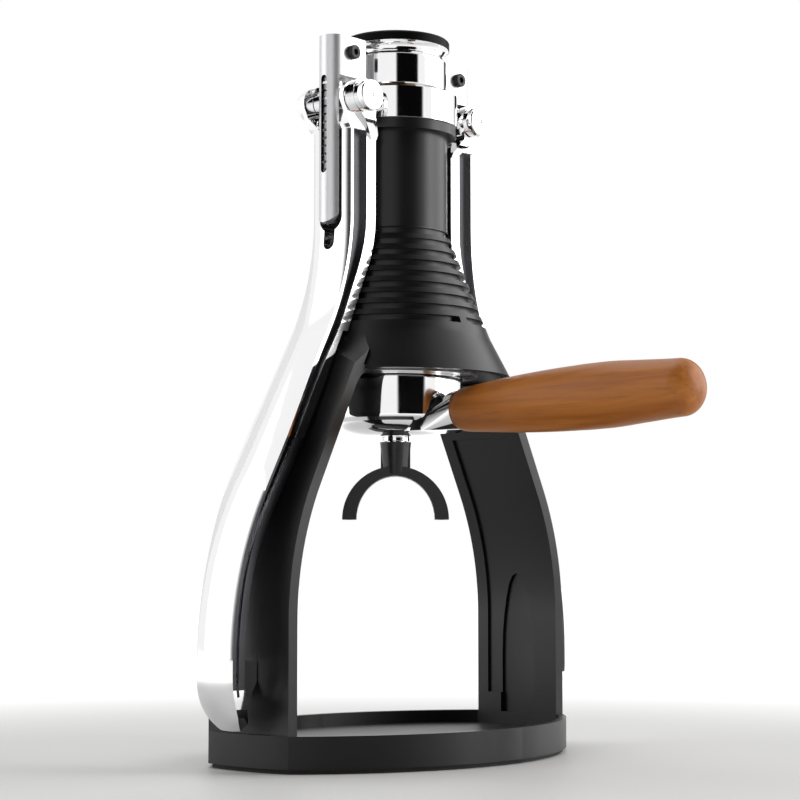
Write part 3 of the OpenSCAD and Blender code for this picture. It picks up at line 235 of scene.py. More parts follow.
# %% Coated, moulded and rubber finishes
def grained(name, dark, light, low, high, size=2500.0, bump=0.15, metallic=0.0, gloss=0.5):
    finish, tree, shader, place = start_finish(name)
    shader.inputs["Metallic"].default_value = metallic
    shader.inputs["Specular IOR Level"].default_value = gloss
    grain = use_group(tree, grain_group, Size=size, Dark=(*dark, 1), Light=(*light, 1), Low=low, High=high)
    tree.links.new(place, grain.inputs["Vector"])
    tree.links.new(grain.outputs["Color"], shader.inputs["Base Color"])
    tree.links.new(grain.outputs["Roughness"], shader.inputs["Roughness"])
    relief = add_node(tree, "ShaderNodeBump", Strength=bump, Distance=0.0002)
    tree.links.new(grain.outputs["Height"], relief.inputs["Height"])
    tree.links.new(relief.outputs["Normal"], shader.inputs["Normal"])
    return finish

# %% [markdown]
# ## Oiled wood
# The handle is orange-brown hardwood with long figure and fine pores along it. A picture of wood would
# have to be unwrapped and would repeat. Here one noise is stretched along the handle's own direction
# for the figure and a finer one for the pores, and both change the gloss, as oil soaks in unevenly.

# %% Oiled wood
def oiled_wood(name):
    finish, tree, shader, place = start_finish(name)
    shader.inputs["Specular IOR Level"].default_value = 0.3
    along = add_node(tree, "ShaderNodeMapping")
    along.inputs["Scale"].default_value = (90.0, 5.0, 90.0)
    tree.links.new(place, along.inputs["Vector"])
    figure = add_node(tree, "ShaderNodeTexNoise", Scale=1.6, Detail=6.0, Roughness=0.62, Distortion=0.7)
    tree.links.new(along.outputs["Vector"], figure.inputs["Vector"])
    pores_at = add_node(tree, "ShaderNodeMapping")
    pores_at.inputs["Scale"].default_value = (900.0, 30.0, 900.0)
    tree.links.new(place, pores_at.inputs["Vector"])
    pores = add_node(tree, "ShaderNodeTexNoise", Scale=1.0, Detail=2.0)
    tree.links.new(pores_at.outputs["Vector"], pores.inputs["Vector"])
    ramp = add_node(tree, "ShaderNodeValToRGB")
    ramp.color_ramp.elements[0].position = 0.30
    ramp.color_ramp.elements[0].color = (0.27, 0.075, 0.0085, 1)
    ramp.color_ramp.elements[1].position = 0.72
    ramp.color_ramp.elements[1].color = (0.46, 0.160, 0.025, 1)
    tree.links.new(figure.outputs["Fac"], ramp.inputs["Fac"])
    dark = add_node(tree, "ShaderNodeMix", {"data_type": "RGBA", "blend_type": "MULTIPLY"})
    speck = add_node(tree, "ShaderNodeMapRange", From_Min=0.28, From_Max=0.42, To_Min=0.8, To_Max=1.0)
    tree.links.new(pores.outputs["Fac"], speck.inputs["Value"])
    dark.inputs["Factor"].default_value = 1.0
    tree.links.new(ramp.outputs["Color"], dark.inputs[6])
    tree.links.new(speck.outputs["Result"], dark.inputs[7])
    tree.links.new(dark.outputs[2], shader.inputs["Base Color"])
    gloss = add_node(tree, "ShaderNodeMapRange", From_Min=0.3, From_Max=0.7, To_Min=0.34, To_Max=0.46)
    tree.links.new(figure.outputs["Fac"], gloss.inputs["Value"])
    tree.links.new(gloss.outputs["Result"], shader.inputs["Roughness"])
    relief = add_node(tree, "ShaderNodeBump", Strength=0.08, Distance=0.0003)
    tree.links.new(pores.outputs["Fac"], relief.inputs["Height"])
    tree.links.new(relief.outputs["Normal"], shader.inputs["Normal"])
    return finish

# %% Give every solid node its finish
finishes = {
    "frame_black": grained("powder coat", (0.0025, 0.0025, 0.0027), (0.0050, 0.0050, 0.0054), 0.30, 0.38,
                           bump=0.06, gloss=0.38),
    "pad_rubber": grained("pad rubber", (0.008, 0.008, 0.008), (0.015, 0.015, 0.015), 0.7, 0.85),
    "inner_steel": turned("turned steel", (0.62, 0.62, 0.63), 0.2, 0.32),
    "polished_metal": polished("polished metal", (0.93, 0.93, 0.935), 0.03, 0.09),
    "screw_black": grained("blackened steel", (0.01, 0.01, 0.01), (0.03, 0.03, 0.03), 0.3, 0.42,
                           metallic=0.6),
    # painted shade: the bronze is painted far darker than bronze, for the shade in the gap between crown and
    # collar
    "bush_bronze": turned("bronze darkened as painted shade", (0.17, 0.12, 0.07), 0.40, 0.55),
    "gasket_rubber": grained("gasket rubber", (0.02, 0.01, 0.01), (0.05, 0.02, 0.015), 0.45, 0.6),
    "well_black": grained("well black", (0.001, 0.001, 0.001), (0.003, 0.003, 0.003), 0.40, 0.5,
                          gloss=0.06),
    "rail_steel": turned("rail steel", (0.66, 0.66, 0.67), 0.36, 0.48, pitch=900.0),
    "piston_plastic": grained("piston plastic", (0.55, 0.55, 0.52), (0.7, 0.7, 0.67), 0.35, 0.45),
    "handle_wood": oiled_wood("oiled wood"),
    "spout_plastic": grained("moulded black", (0.003, 0.003, 0.003), (0.006, 0.006, 0.006), 0.30, 0.40,
                             bump=0.05),
}
slot_of = {part["node"]: part["material_slot"] for part in frame["record"]["subparts"]}
for node_name, solid in nodes.items():
    solid.data.materials.clear()
    solid.data.materials.append(finishes[slot_of[node_name]])
print("finishes:", len(finishes))

# %% [markdown]
# ## Softened edges and exact shading
# A machined or cast part never has a perfectly sharp edge: each edge is broken by a file or a fillet
# and catches a thin line of light. The solid model's edges are sharp, so a copy of each visible part
# gets a small bevel. Its triangles are merged first, so that the bevel follows real edges only.
#
# A mirror finish shows every flaw of the shading. The solid model's round faces are strips, and the
# average of two strips is not quite the direction of the true surface. So each face that belongs to a
# known round surface gets the exact normals of that surface, worked out from where its corners lie.
# The bevels take over the normals of the faces beside them, and flat faces stay flat. Subdividing would
# be another way, but it rounds off what ought to stay flat, and it costs many more faces.

# %% Rules for exact normals
SAME_WAY, NEARLY, ALONG_AXIS, STEEPEST = 0.994, 0.985, 0.15, 0.99


def about(point, axis):
    """A rule for faces that lie round a line: the normal turns with the corner's own direction."""
    point, axis = Vector(point) * mm, Vector(axis).normalized()

    def arm(at):
        out = at - point
        return (out - axis * out.dot(axis)).normalized()

    def rule(corners, middle, normal, smooth):
        across = normal - axis * normal.dot(axis)
        out = arm(middle)
        if across.length < ALONG_AXIS or abs(out.dot(across.normalized())) < SAME_WAY:
            return None
        arms = [arm(corner) for corner in corners]
        if min(one.dot(out) for one in arms) < NEARLY:
            return None
        side = 1 if out.dot(across) > 0 else -1
        result = []
        for one, soft in zip(arms, smooth):
            rise = max(-STEEPEST, min(STEEPEST, soft.dot(axis)))
            result.append(one * side * math.sqrt(1 - rise * rise) + axis * rise)
        return result
    return rule

# %% The outer face of a lever
# These are the same sizes as in the solid model: straight, bend out, straight, bend back, toe. The
# crown falls from the crest by its depth times a power of the share of the half width.
TOP_X, BEND_Z, BEND_R, LEAN = 38.3, 212.0, 96.0, math.radians(29.2)
LOWER_X, LOWER_Z, TOE_Z, TOE_R = 99.1, 39.7, 33.7, 24.0
HALF_WIDTH, CROWN_DEPTH, CROWN_POWER, CROWN_END_Z = 12.0, 2.16, 2.2, 248.1
run_x = LOWER_X - TOP_X - BEND_R * (1 - math.cos(LEAN))
run_z = BEND_Z - LOWER_Z - BEND_R * math.sin(LEAN)
LOWER_R = (run_z * math.sin(LEAN) - run_x * math.cos(LEAN)) / (1 - math.cos(LEAN))
MID_X, MID_Z = TOP_X + BEND_R * (1 - math.cos(LEAN)), BEND_Z - BEND_R * math.sin(LEAN)


def lever_face(x, z):
    """How far the outer face leans beside a point, and how deep the point lies behind its crest."""
    if z >= BEND_Z:
        return 0.0, TOP_X - x
    turn = math.atan2(BEND_Z - z, TOP_X + BEND_R - x)
    if turn <= LEAN:
        return turn, math.hypot(BEND_Z - z, TOP_X + BEND_R - x) - BEND_R
    turn = math.atan2(z - LOWER_Z, x - LOWER_X + LOWER_R)
    if turn >= LEAN:
        return LEAN, (MID_X - x) * math.cos(LEAN) + (MID_Z - z) * math.sin(LEAN)
    if turn >= 0:
        return turn, LOWER_R - math.hypot(z - LOWER_Z, x - LOWER_X + LOWER_R)
    if z >= TOE_Z:
        return 0.0, LOWER_X - x
    turn = math.atan2(z - TOE_Z, x - LOWER_X + TOE_R)
    return turn, TOE_R - math.hypot(z - TOE_Z, x - LOWER_X + TOE_R)

# %% The crown of that face
def crowned(side):
    """A rule for the slightly crowned outer face of the lever on one side."""
    def rule(corners, middle, normal, smooth):
        lean, depth = lever_face(middle.x * side / mm, middle.z / mm)
        outward = normal.x * side * math.cos(lean) + normal.z * math.sin(lean)
        on_crown = -0.3 < depth < CROWN_DEPTH + 0.54 and abs(middle.y) < (HALF_WIDTH - 0.5) * mm
        if outward < 0.75 or not on_crown or middle.z > CROWN_END_Z * mm:
            return None
        result = []
        for corner in corners:
            lean, depth = lever_face(corner.x * side / mm, corner.z / mm)
            across = corner.y / mm / HALF_WIDTH
            slope = CROWN_DEPTH * CROWN_POWER / HALF_WIDTH * abs(across) ** (CROWN_POWER - 1)
            slope = math.copysign(slope, across)
            result.append(Vector((side * math.cos(lean), slope, math.sin(lean))).normalized())
        return result
    return rule

# %% Set the normals of a bevelled copy
CREASE, FACING = math.cos(math.radians(32)), 0.3


def set_normals(mesh, is_edge, rules):
    """Gives every corner its normal: by a rule, from its neighbours, or on a bevel from the face beside."""
    normals = [face.normal.copy() for face in mesh.polygons]
    sizes = [face.area for face in mesh.polygons]
    faces_at = [[] for _ in mesh.vertices]
    for face in mesh.polygons:
        for corner in face.vertices:
            faces_at[corner].append(face.index)

    def blended(corner, own, edges_too):
        total = Vector()
        for other in faces_at[corner]:
            if (edges_too or not is_edge[other]) and normals[other].dot(own) > CREASE:
                total += normals[other] * sizes[other]
        return total.normalized() if total.length > 0 else own

    chosen = [None] * len(mesh.loops)
    given = [[] for _ in mesh.vertices]
    exact_faces = 0
    for face in mesh.polygons:
        if is_edge[face.index]:
            continue
        own = normals[face.index]
        smooth = [blended(corner, own, False) for corner in face.vertices]
        corners = [mesh.vertices[corner].co for corner in face.vertices]
        for rule in rules:
            exact = rule(corners, face.center, own, smooth)
            if exact:
                smooth = exact
                exact_faces += 1
                break
        for loop, corner, normal in zip(face.loop_indices, face.vertices, smooth):
            chosen[loop] = normal
            given[corner].append(normal)
    for face in mesh.polygons:
        if is_edge[face.index]:
            own = normals[face.index]
            for loop, corner in zip(face.loop_indices, face.vertices):
                near = max(given[corner], key=own.dot, default=None)
                chosen[loop] = near if near and near.dot(own) > FACING else blended(corner, own, True)
    mesh.normals_split_custom_set(chosen)
    return exact_faces

# %% Bevel a copy of a node
FLAT_WITHIN, SHARP_FROM = math.radians(0.6), math.radians(28)


def softened(node_name, body, width, rules=(), merge=0.002 * mm):
    """A copy of a solid with merged corners, joined flat faces, bevelled edges and exact normals."""
    mesh = nodes[node_name].data.copy()
    mesh.name = node_name + "_soft"
    work = bmesh.new()
    work.from_mesh(mesh)
    bmesh.ops.remove_doubles(work, verts=work.verts, dist=merge)
    bmesh.ops.dissolve_limit(work, angle_limit=FLAT_WITHIN, use_dissolve_boundaries=False,
                             verts=work.verts, edges=work.edges)
    work.to_mesh(mesh)
    work.free()
    mesh.materials.append(None)
    piece = bpy.data.objects.new(node_name + "_soft", mesh)
    bpy.context.scene.collection.objects.link(piece)
    bevel = piece.modifiers.new("edge", "BEVEL")
    bevel.width = width
    bevel.segments = 2
    bevel.limit_method = "ANGLE"
    bevel.angle_limit = SHARP_FROM
    bevel.use_clamp_overlap = True
    bevel.material = 1
    depsgraph = bpy.context.evaluated_depsgraph_get()
    final = bpy.data.meshes.new_from_object(piece.evaluated_get(depsgraph))
    piece.modifiers.clear()
    piece.data = final
    is_edge = [face.material_index == 1 for face in final.polygons]
    final.shade_smooth()
    exact = set_normals(final, is_edge, rules)
    final.polygons.foreach_set("material_index", [0] * len(final.polygons))
    final.materials.pop(index=1)
    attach(piece, body)
    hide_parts(node_name)
    print(node_name, "softened:", len(final.polygons), "faces,", exact, "with exact normals")
    return piece

# %% [markdown]
# ## Which parts are softened
# Every part with visible edges gets its bevel here, with the round surfaces that it has. The long sides
# of the base are two wide arcs, whose radius follows from the base's length and depth.
#
# The levers are polished on the outside. The faces at the bottom of the recess along each side get a
# second, dark finish as painted shade, and the side faces beside its lower end get it as a painted dark
# reflection. Inside the window of each rail the rack is painted nearly black as painted shade, and the
# backs of its teeth, which face out, a dull grey as a lighter painted shade. One more material slot on
# the same mesh is enough for that, and the lever stays one piece.

# %% Soften the frame and the crown
# sizes of the solid model, in millimetres
HINGE_X, HINGE_Z = 32.8, 257.0
BASE_HALF_LENGTH, BASE_HALF_DEPTH, BASE_END_DEPTH = 81.0, 56.0, 21.0
UP, ALONG_Y = (0, 0, 1), (0, 1, 0)
upright = about((0, 0, 0), UP)
hinge_rule = {side: about((side * HINGE_X, 0, HINGE_Z), ALONG_Y) for side in (-1, 1)}
arc_rise = BASE_HALF_DEPTH - BASE_END_DEPTH
arc_r = (BASE_HALF_LENGTH ** 2 + arc_rise ** 2) / (2 * arc_rise)
arc_rules = [about((0, side * (arc_r - BASE_HALF_DEPTH), 0), UP) for side in (-1, 1)]
softened("frame_casting", "frame", 0.5 * mm, [upright, *arc_rules])
softened("collar", "frame", 0.35 * mm, [upright, hinge_rule[-1], hinge_rule[1]])
softened("crown_ring", "crown", 0.3 * mm, [upright])
softened("well_liner", "crown", 0.3 * mm, [upright])

# %% Soften the levers and the rails, and paint shade into the lever recesses and rail windows
RAIL_X, RAIL_R = 36.4, 5.6
# painted shade: the bottom of each lever recess is painted dark for its shade, and the sides beside its lower
# end for a dark reflection
recess_painted_shade = grained("painted recess shade", (0.035, 0.035, 0.037), (0.075, 0.075, 0.08), 0.26, 0.36, bump=0.05,
                        metallic=1.0)
# painted shade: inside each rail window the rack is painted nearly black for the shade in the slot
slot_painted_shade = grained("painted slot shade", (0.006, 0.006, 0.006), (0.015, 0.015, 0.015), 0.26, 0.36, metallic=1.0)
# lighter painted shade: the backs of the teeth, which face out of the window, are painted dull grey
tooth_back_painted_shade = grained("lighter painted shade on tooth backs", (0.14, 0.14, 0.142), (0.24, 0.24, 0.243), 0.24, 0.34, metallic=1.0)


def refinish(piece, finish, is_there):
    """Gives the faces that pass a test a finish of their own."""
    piece.data.materials.append(finish)
    chosen = [face for face in piece.data.polygons if is_there(*(face.center / mm), face.normal)]
    for face in chosen:
        face.material_index = len(piece.data.materials) - 1
    print(piece.name, "has", len(chosen), "faces with", finish.name)


def beside_lever(x, y, z, normal):
    """Faces on a side of a lever: 7 to 8.6 mm from its middle is the recess, 9.4 to 11 mm is beside it."""
    in_recess, beside_its_end = abs(y) < 8.75 and z < 246, 30 < z < 120
    on_side = 6.4 < abs(y) < 11.3 and normal.y * math.copysign(1, y) > 0.9
    return on_side and (in_recess or beside_its_end)


def behind_window(x, y, z, normal):
    """Faces inside the window of a rail, which is 3 mm wide and cut through to the teeth."""
    return RAIL_X + 0.6 < abs(x) < RAIL_X + RAIL_R - 0.25 and abs(y) < 1.6 and 226 < z < 272


def tooth_back(x, y, z, normal):
    return behind_window(x, y, z, normal) and normal.x * x > 0.9 * abs(x)


for word, side in (("left", -1), ("right", 1)):
    # the crown of the solid lever is cut in steps of up to 0.04 mm, which merging takes away
    lever = softened("lever_" + word, word + "_arm", 0.45 * mm, [crowned(side), hinge_rule[side]],
                     merge=0.07 * mm)
    refinish(lever, recess_painted_shade, beside_lever)
    rail = softened("rail_" + word, "crown", 0.2 * mm, [about((side * RAIL_X, 0, 0), UP)])
    refinish(rail, slot_painted_shade, behind_window)
    refinish(rail, tooth_back_painted_shade, tooth_back)

# %% Soften the filter holder and the spout
SPOUT_Z, SPOUT_TURN = 93.3, math.radians(48)
spout_way = (math.sin(SPOUT_TURN), math.cos(SPOUT_TURN), 0)
softened("portafilter_body", "holder", 0.4 * mm, [upright])
softened("twin_spout", "spout", 0.35 * mm, [about((0, 0, SPOUT_Z), spout_way), upright])
softened("nozzle", "holder", 0.15 * mm, [upright])

# %% [markdown]
# ## The wooden handle
# The handle is turned from one piece of hardwood: it swells from the metal neck to a long belly, thins
# a little towards its end and closes in a dome. A lathe follows a rule, so Geometry Nodes follow it
# too: a line is given more points near its ends, a curve says how thick the wood is at each of them,
# and a circle is swept along it. The tree has named inputs, so another length or belly is one number.

# %% Geometry Nodes helpers
def start_tree(name, inputs):
    tree = bpy.data.node_groups.new(name, "GeometryNodeTree")
    for label, kind, value in inputs:
        socket = tree.interface.new_socket(label, in_out="INPUT", socket_type=kind)
        if value is not None:
            socket.default_value = value
    tree.interface.new_socket("Geometry", in_out="OUTPUT", socket_type="NodeSocketGeometry")
    return tree, tree.nodes.new("NodeGroupInput"), tree.nodes.new("NodeGroupOutput")


def grow(name, tree, **values):
    """Runs a tree on an empty mesh and returns the result as a plain mesh object."""
    piece = bpy.data.objects.new(name, bpy.data.meshes.new(name))
    bpy.context.scene.collection.objects.link(piece)
    modifier = piece.modifiers.new("grow", "NODES")
    modifier.node_group = tree
    for item in tree.interface.items_tree:
        label = item.name.lower().replace(" ", "_")
        if item.in_out == "INPUT" and label in values:
            modifier[item.identifier] = values[label]
    made = bpy.data.meshes.new_from_object(piece.evaluated_get(bpy.context.evaluated_depsgraph_get()))
    piece.modifiers.clear()
    piece.data = made
    made.name = name
    return piece

# %% Short ways to add nodes
def math_node(tree, operation, first, second=None):
    made = add_node(tree, "ShaderNodeMath", {"operation": operation})
    for socket, value in zip(made.inputs, (first, second)):
        if isinstance(value, (int, float)):
            socket.default_value = value
        elif value is not None:
            tree.links.new(value, socket)
    return made.outputs[0]


def finish_tree(tree, geometry, material, tree_out):
    """Makes instances real, gives them the finish and links the result to the tree's output."""
    real = tree.nodes.new("GeometryNodeRealizeInstances")
    coat = tree.nodes.new("GeometryNodeSetMaterial")
    tree.links.new(geometry, real.inputs["Geometry"])
    tree.links.new(real.outputs["Geometry"], coat.inputs["Geometry"])
    tree.links.new(material, coat.inputs["Material"])
    tree.links.new(coat.outputs["Geometry"], tree_out.inputs["Geometry"])

# %% The handle tree: points along its axis
lathe, lathe_in, lathe_out = start_tree("turned handle", [
    ("Length", "NodeSocketFloat", 0.111), ("Belly Radius", "NodeSocketFloat", 0.0123),
    ("Dome Length", "NodeSocketFloat", 0.0079), ("Rings", "NodeSocketInt", 90),
    ("Sides", "NodeSocketInt", 72), ("Material", "NodeSocketMaterial", None)])
line = lathe.nodes.new("GeometryNodeCurvePrimitiveLine")
line.inputs["End"].default_value = (0.0, 0.0, 1.0)
spaced = lathe.nodes.new("GeometryNodeResampleCurve")
lathe.links.new(line.outputs["Curve"], spaced.inputs["Curve"])
lathe.links.new(lathe_in.outputs["Rings"], spaced.inputs["Count"])
along = lathe.nodes.new("GeometryNodeSplineParameter").outputs["Factor"]
eased = math_node(lathe, "SINE", math_node(lathe, "MULTIPLY", along, math.pi / 2))
spot = lathe.nodes.new("ShaderNodeCombineXYZ")
lathe.links.new(math_node(lathe, "MULTIPLY", eased, lathe_in.outputs["Length"]), spot.inputs["Z"])
moved = lathe.nodes.new("GeometryNodeSetPosition")
lathe.links.new(spaced.outputs["Curve"], moved.inputs["Geometry"])
lathe.links.new(spot.outputs["Vector"], moved.inputs["Position"])

# %% How thick the wood is along the handle
at = lathe.nodes.new("ShaderNodeSeparateXYZ")
lathe.links.new(lathe.nodes.new("GeometryNodeInputPosition").outputs["Position"], at.inputs["Vector"])
outline = lathe.nodes.new("ShaderNodeFloatCurve")
# width, as a share of the belly's, at shares of the length: neck, shoulder, belly, waist and end
curve = outline.mapping.curves[0]
curve.points[0].location = (0.0, 0.60)
curve.points[1].location = (1.0, 0.85)
for share, width in ((0.009, 0.67), (0.14, 0.80), (0.32, 0.921), (0.50, 0.986), (0.64, 1.0), (0.78, 0.93),
                     (0.93, 0.855)):
    curve.points.new(share, width)
outline.mapping.update()
share_here = math_node(lathe, "DIVIDE", at.outputs["Z"], lathe_in.outputs["Length"])
lathe.links.new(share_here, outline.inputs["Value"])
to_end = math_node(lathe, "SUBTRACT", lathe_in.outputs["Length"], at.outputs["Z"])
in_dome = math_node(lathe, "MAXIMUM", math_node(lathe, "SUBTRACT", 1.0, math_node(
    lathe, "DIVIDE", to_end, lathe_in.outputs["Dome Length"])), 0.0)
dome = math_node(lathe, "SQRT", math_node(lathe, "MAXIMUM", math_node(
    lathe, "SUBTRACT", 1.0, math_node(lathe, "MULTIPLY", in_dome, in_dome)), 0.0004))
width_here = math_node(lathe, "MULTIPLY", math_node(lathe, "MULTIPLY", outline.outputs["Value"], dome),
                       lathe_in.outputs["Belly Radius"])
ring = lathe.nodes.new("GeometryNodeCurvePrimitiveCircle")
ring.inputs["Radius"].default_value = 1.0
lathe.links.new(lathe_in.outputs["Sides"], ring.inputs["Resolution"])
swept = lathe.nodes.new("GeometryNodeCurveToMesh")
swept.inputs["Fill Caps"].default_value = True
lathe.links.new(moved.outputs["Geometry"], swept.inputs["Curve"])
lathe.links.new(ring.outputs["Curve"], swept.inputs["Profile Curve"])
lathe.links.new(width_here, swept.inputs["Scale"])
finish_tree(lathe, swept.outputs["Mesh"], lathe_in.outputs["Material"], lathe_out)

# %% Turn the handle and set it on its axis
WOOD_START, WOOD_LENGTH, WOOD_RADIUS, HANDLE_Z, HANDLE_RISE = 34.5, 110.97, 12.28, 135.4, math.radians(1.6)


def place_grown(piece, body, node_name):
    """Shades a grown piece, lets it stand for its node and works out the corners of its box."""
    piece.data.shade_smooth()
    piece.data.set_sharp_from_angle(angle=math.radians(35))
    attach(piece, body)
    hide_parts(node_name)
    spots = [v.co for v in piece.data.vertices]
    mine = [round(pick(spot[i] for spot in spots), 4) for pick in (min, max) for i in range(3)]


handle = grow("handle_turned", lathe, length=WOOD_LENGTH * mm, belly_radius=WOOD_RADIUS * mm,
              dome_length=7.9 * mm, rings=90, sides=72, material=finishes["handle_wood"])
handle.data.transform(Matrix.Translation((0, -WOOD_START * mm, HANDLE_Z * mm))
                      @ Matrix.Rotation(math.radians(90) - HANDLE_RISE, 4, "X"))
place_grown(handle, "holder", "wood_handle")

# %% [markdown]
# ## Caps, bolts and screws
# The hinge caps, the rail bolts and the collar screws come in twos and fours, and each is a turned
# part. One helper revolves an outline: it lays out a line of points, joins them to a curve and sweeps
# that curve round a small circle. An outline is a list of radius and height, and each entry may be a
# number or a named input of the tree, so one cap can be made wider or thicker by one number. A second
# helper cuts the six-sided socket for a hex key. The finished part is then instanced wherever it is
# needed, and the instances are made real at the end.

# %% Revolve an outline
def revolve(tree, outline, sides=64, core=0.001):
    """Sweeps an outline of (radius, height) points round the Z axis, and merges the poles."""
    points = add_node(tree, "GeometryNodeMeshLine", Count=len(outline))
    pick = add_node(tree, "GeometryNodeIndexSwitch", {"data_type": "VECTOR"})
    while len(pick.index_switch_items) < len(outline):
        pick.index_switch_items.new()
    for number, (radius, height) in enumerate(outline):
        spot = tree.nodes.new("ShaderNodeCombineXYZ")
        tree.links.new(math_node(tree, "SUBTRACT", radius, core), spot.inputs["X"])
        tree.links.new(math_node(tree, "MULTIPLY", height, -1.0), spot.inputs["Y"])
        tree.links.new(spot.outputs["Vector"], pick.inputs[str(number)])
    tree.links.new(tree.nodes.new("GeometryNodeInputIndex").outputs["Index"], pick.inputs["Index"])
    moved = tree.nodes.new("GeometryNodeSetPosition")
    tree.links.new(points.outputs["Mesh"], moved.inputs["Geometry"])
    tree.links.new(pick.outputs["Output"], moved.inputs["Position"])
    joined = tree.nodes.new("GeometryNodeMeshToCurve")
    tree.links.new(moved.outputs["Geometry"], joined.inputs["Mesh"])
    circle = add_node(tree, "GeometryNodeCurvePrimitiveCircle", Resolution=sides)
    circle.inputs["Radius"].default_value = core
    swept = tree.nodes.new("GeometryNodeCurveToMesh")
    tree.links.new(circle.outputs["Curve"], swept.inputs["Curve"])
    tree.links.new(joined.outputs["Curve"], swept.inputs["Profile Curve"])
    closed = add_node(tree, "GeometryNodeMergeByDistance", Distance=2e-6)
    tree.links.new(swept.outputs["Mesh"], closed.inputs["Geometry"])
    turned_out = tree.nodes.new("GeometryNodeFlipFaces")
    tree.links.new(closed.outputs["Geometry"], turned_out.inputs["Mesh"])
    return turned_out.outputs["Mesh"]

# %% Cut a hex socket, and place copies
def hex_socket(tree, part, radius, middle, depth):
    """Cuts a six-sided socket into a part on its axis. Its middle height is an output of the tree."""
    key = add_node(tree, "GeometryNodeMeshCylinder", Vertices=6, Depth=depth)
    tree.links.new(radius, key.inputs["Radius"])
    lift = tree.nodes.new("ShaderNodeCombineXYZ")
    tree.links.new(middle, lift.inputs["Z"])
    lifted_key = tree.nodes.new("GeometryNodeTransform")
    tree.links.new(key.outputs["Mesh"], lifted_key.inputs["Geometry"])
    tree.links.new(lift.outputs["Vector"], lifted_key.inputs["Translation"])
    cut = add_node(tree, "GeometryNodeMeshBoolean", {"operation": "DIFFERENCE"})
    tree.links.new(part, cut.inputs["Mesh 1"])
    tree.links.new(lifted_key.outputs["Geometry"], cut.inputs["Mesh 2"])
    return cut.outputs["Mesh"]


def place_copies(tree, part, places):
    """Instances a part at a list of (position, rotation) places."""
    joined = tree.nodes.new("GeometryNodeJoinGeometry")
    for position, rotation in places:
        point = add_node(tree, "GeometryNodeMeshLine", Count=1)
        point.inputs["Start Location"].default_value = position
        copies = tree.nodes.new("GeometryNodeInstanceOnPoints")
        copies.inputs["Rotation"].default_value = rotation
        tree.links.new(point.outputs["Mesh"], copies.inputs["Points"])
        tree.links.new(part, copies.inputs["Instance"])
        tree.links.new(copies.outputs["Instances"], joined.inputs["Geometry"])
    return joined.outputs["Geometry"]

# %% Hinge caps: a disc with a groove behind it and a dimple in front
EAR_OUT = 13.8 * mm
for word, side in (("left", -1), ("right", 1)):
    caps, caps_in, caps_out = start_tree("hinge caps " + word, [
        ("Radius", "NodeSocketFloat", 0.0062), ("Thickness", "NodeSocketFloat", 0.004),
        ("Dimple", "NodeSocketFloat", 0.0009), ("Material", "NodeSocketMaterial", None)])
    radius, thick, dimple = (caps_in.outputs[n] for n in ("Radius", "Thickness", "Dimple"))
    waist = math_node(caps, "SUBTRACT", radius, 0.001)
    shoulder = math_node(caps, "SUBTRACT", radius, 0.0004)
    edge = []
    for turn in (90, 60, 30, 0):
        inward, down = (0.7 * mm * (1 - part(math.radians(turn))) for part in (math.sin, math.cos))
        edge.append((math_node(caps, "SUBTRACT", radius, inward), math_node(caps, "SUBTRACT", thick, down)))
    dimple_foot = math_node(caps, "SUBTRACT", thick, 0.0005)
    outline = [(0.0, 0.0), (shoulder, 0.0), (shoulder, 0.0009), (waist, 0.0009), (waist, 0.0015),
               (radius, 0.0015), *edge, (dimple, thick),
               (math_node(caps, "MULTIPLY", dimple, 0.6), dimple_foot), (0.0, dimple_foot)]
    both_ends = place_copies(caps, revolve(caps, outline), [
        ((side * HINGE_X * mm, out * EAR_OUT, HINGE_Z * mm), (-out * math.pi / 2, 0, 0)) for out in (1, -1)])
    finish_tree(caps, both_ends, caps_in.outputs["Material"], caps_out)
    place_grown(grow("hinge_caps_turned_" + word, caps, radius=6.2 * mm, thickness=4.0 * mm, dimple=0.9 * mm,
                     material=finishes["polished_metal"]), word + "_arm", "hinge_caps_" + word)

# %% Rail bolts: a domed head with a six-sided socket
bolts, bolts_in, bolts_out = start_tree("rail bolts", [
    ("Head Radius", "NodeSocketFloat", 0.0028), ("Shank Radius", "NodeSocketFloat", 0.0015),
    ("Socket Radius", "NodeSocketFloat", 0.0014), ("Length", "NodeSocketFloat", 0.0134),
    ("Material", "NodeSocketMaterial", None)])
head, shank, socket, long = (bolts_in.outputs[n] for n in (
    "Head Radius", "Shank Radius", "Socket Radius", "Length"))
rise = [(math_node(bolts, "MULTIPLY", head, math.cos(math.radians(a)) * 0.12 + 0.88),
         math_node(bolts, "ADD", long, 0.0019 + 0.0005 * math.sin(math.radians(a)))) for a in (0, 45, 90)]
solid_bolt = revolve(bolts, [(0.0, 0.0), (shank, 0.0), (shank, long), (head, long), *rise,
                             (0.0, math_node(bolts, "ADD", long, 0.0024))], sides=48)
finished_bolt = hex_socket(bolts, solid_bolt, socket, math_node(bolts, "ADD", long, 0.0028), 0.0032)
BOLT_X, BOLT_OUT, BOLT_Z = 32.0, RAIL_R + 2.2, 275.7
pair = place_copies(bolts, finished_bolt, [
    ((side * BOLT_X * mm, BOLT_OUT * mm, BOLT_Z * mm), (math.pi / 2, 0, 0)) for side in (-1, 1)])
finish_tree(bolts, pair, bolts_in.outputs["Material"], bolts_out)
place_grown(grow("rail_bolts_turned", bolts, head_radius=2.8 * mm, shank_radius=1.5 * mm,
                 socket_radius=1.4 * mm, length=13.4 * mm, material=finishes["screw_black"]),
            "crown", "rail_bolts")

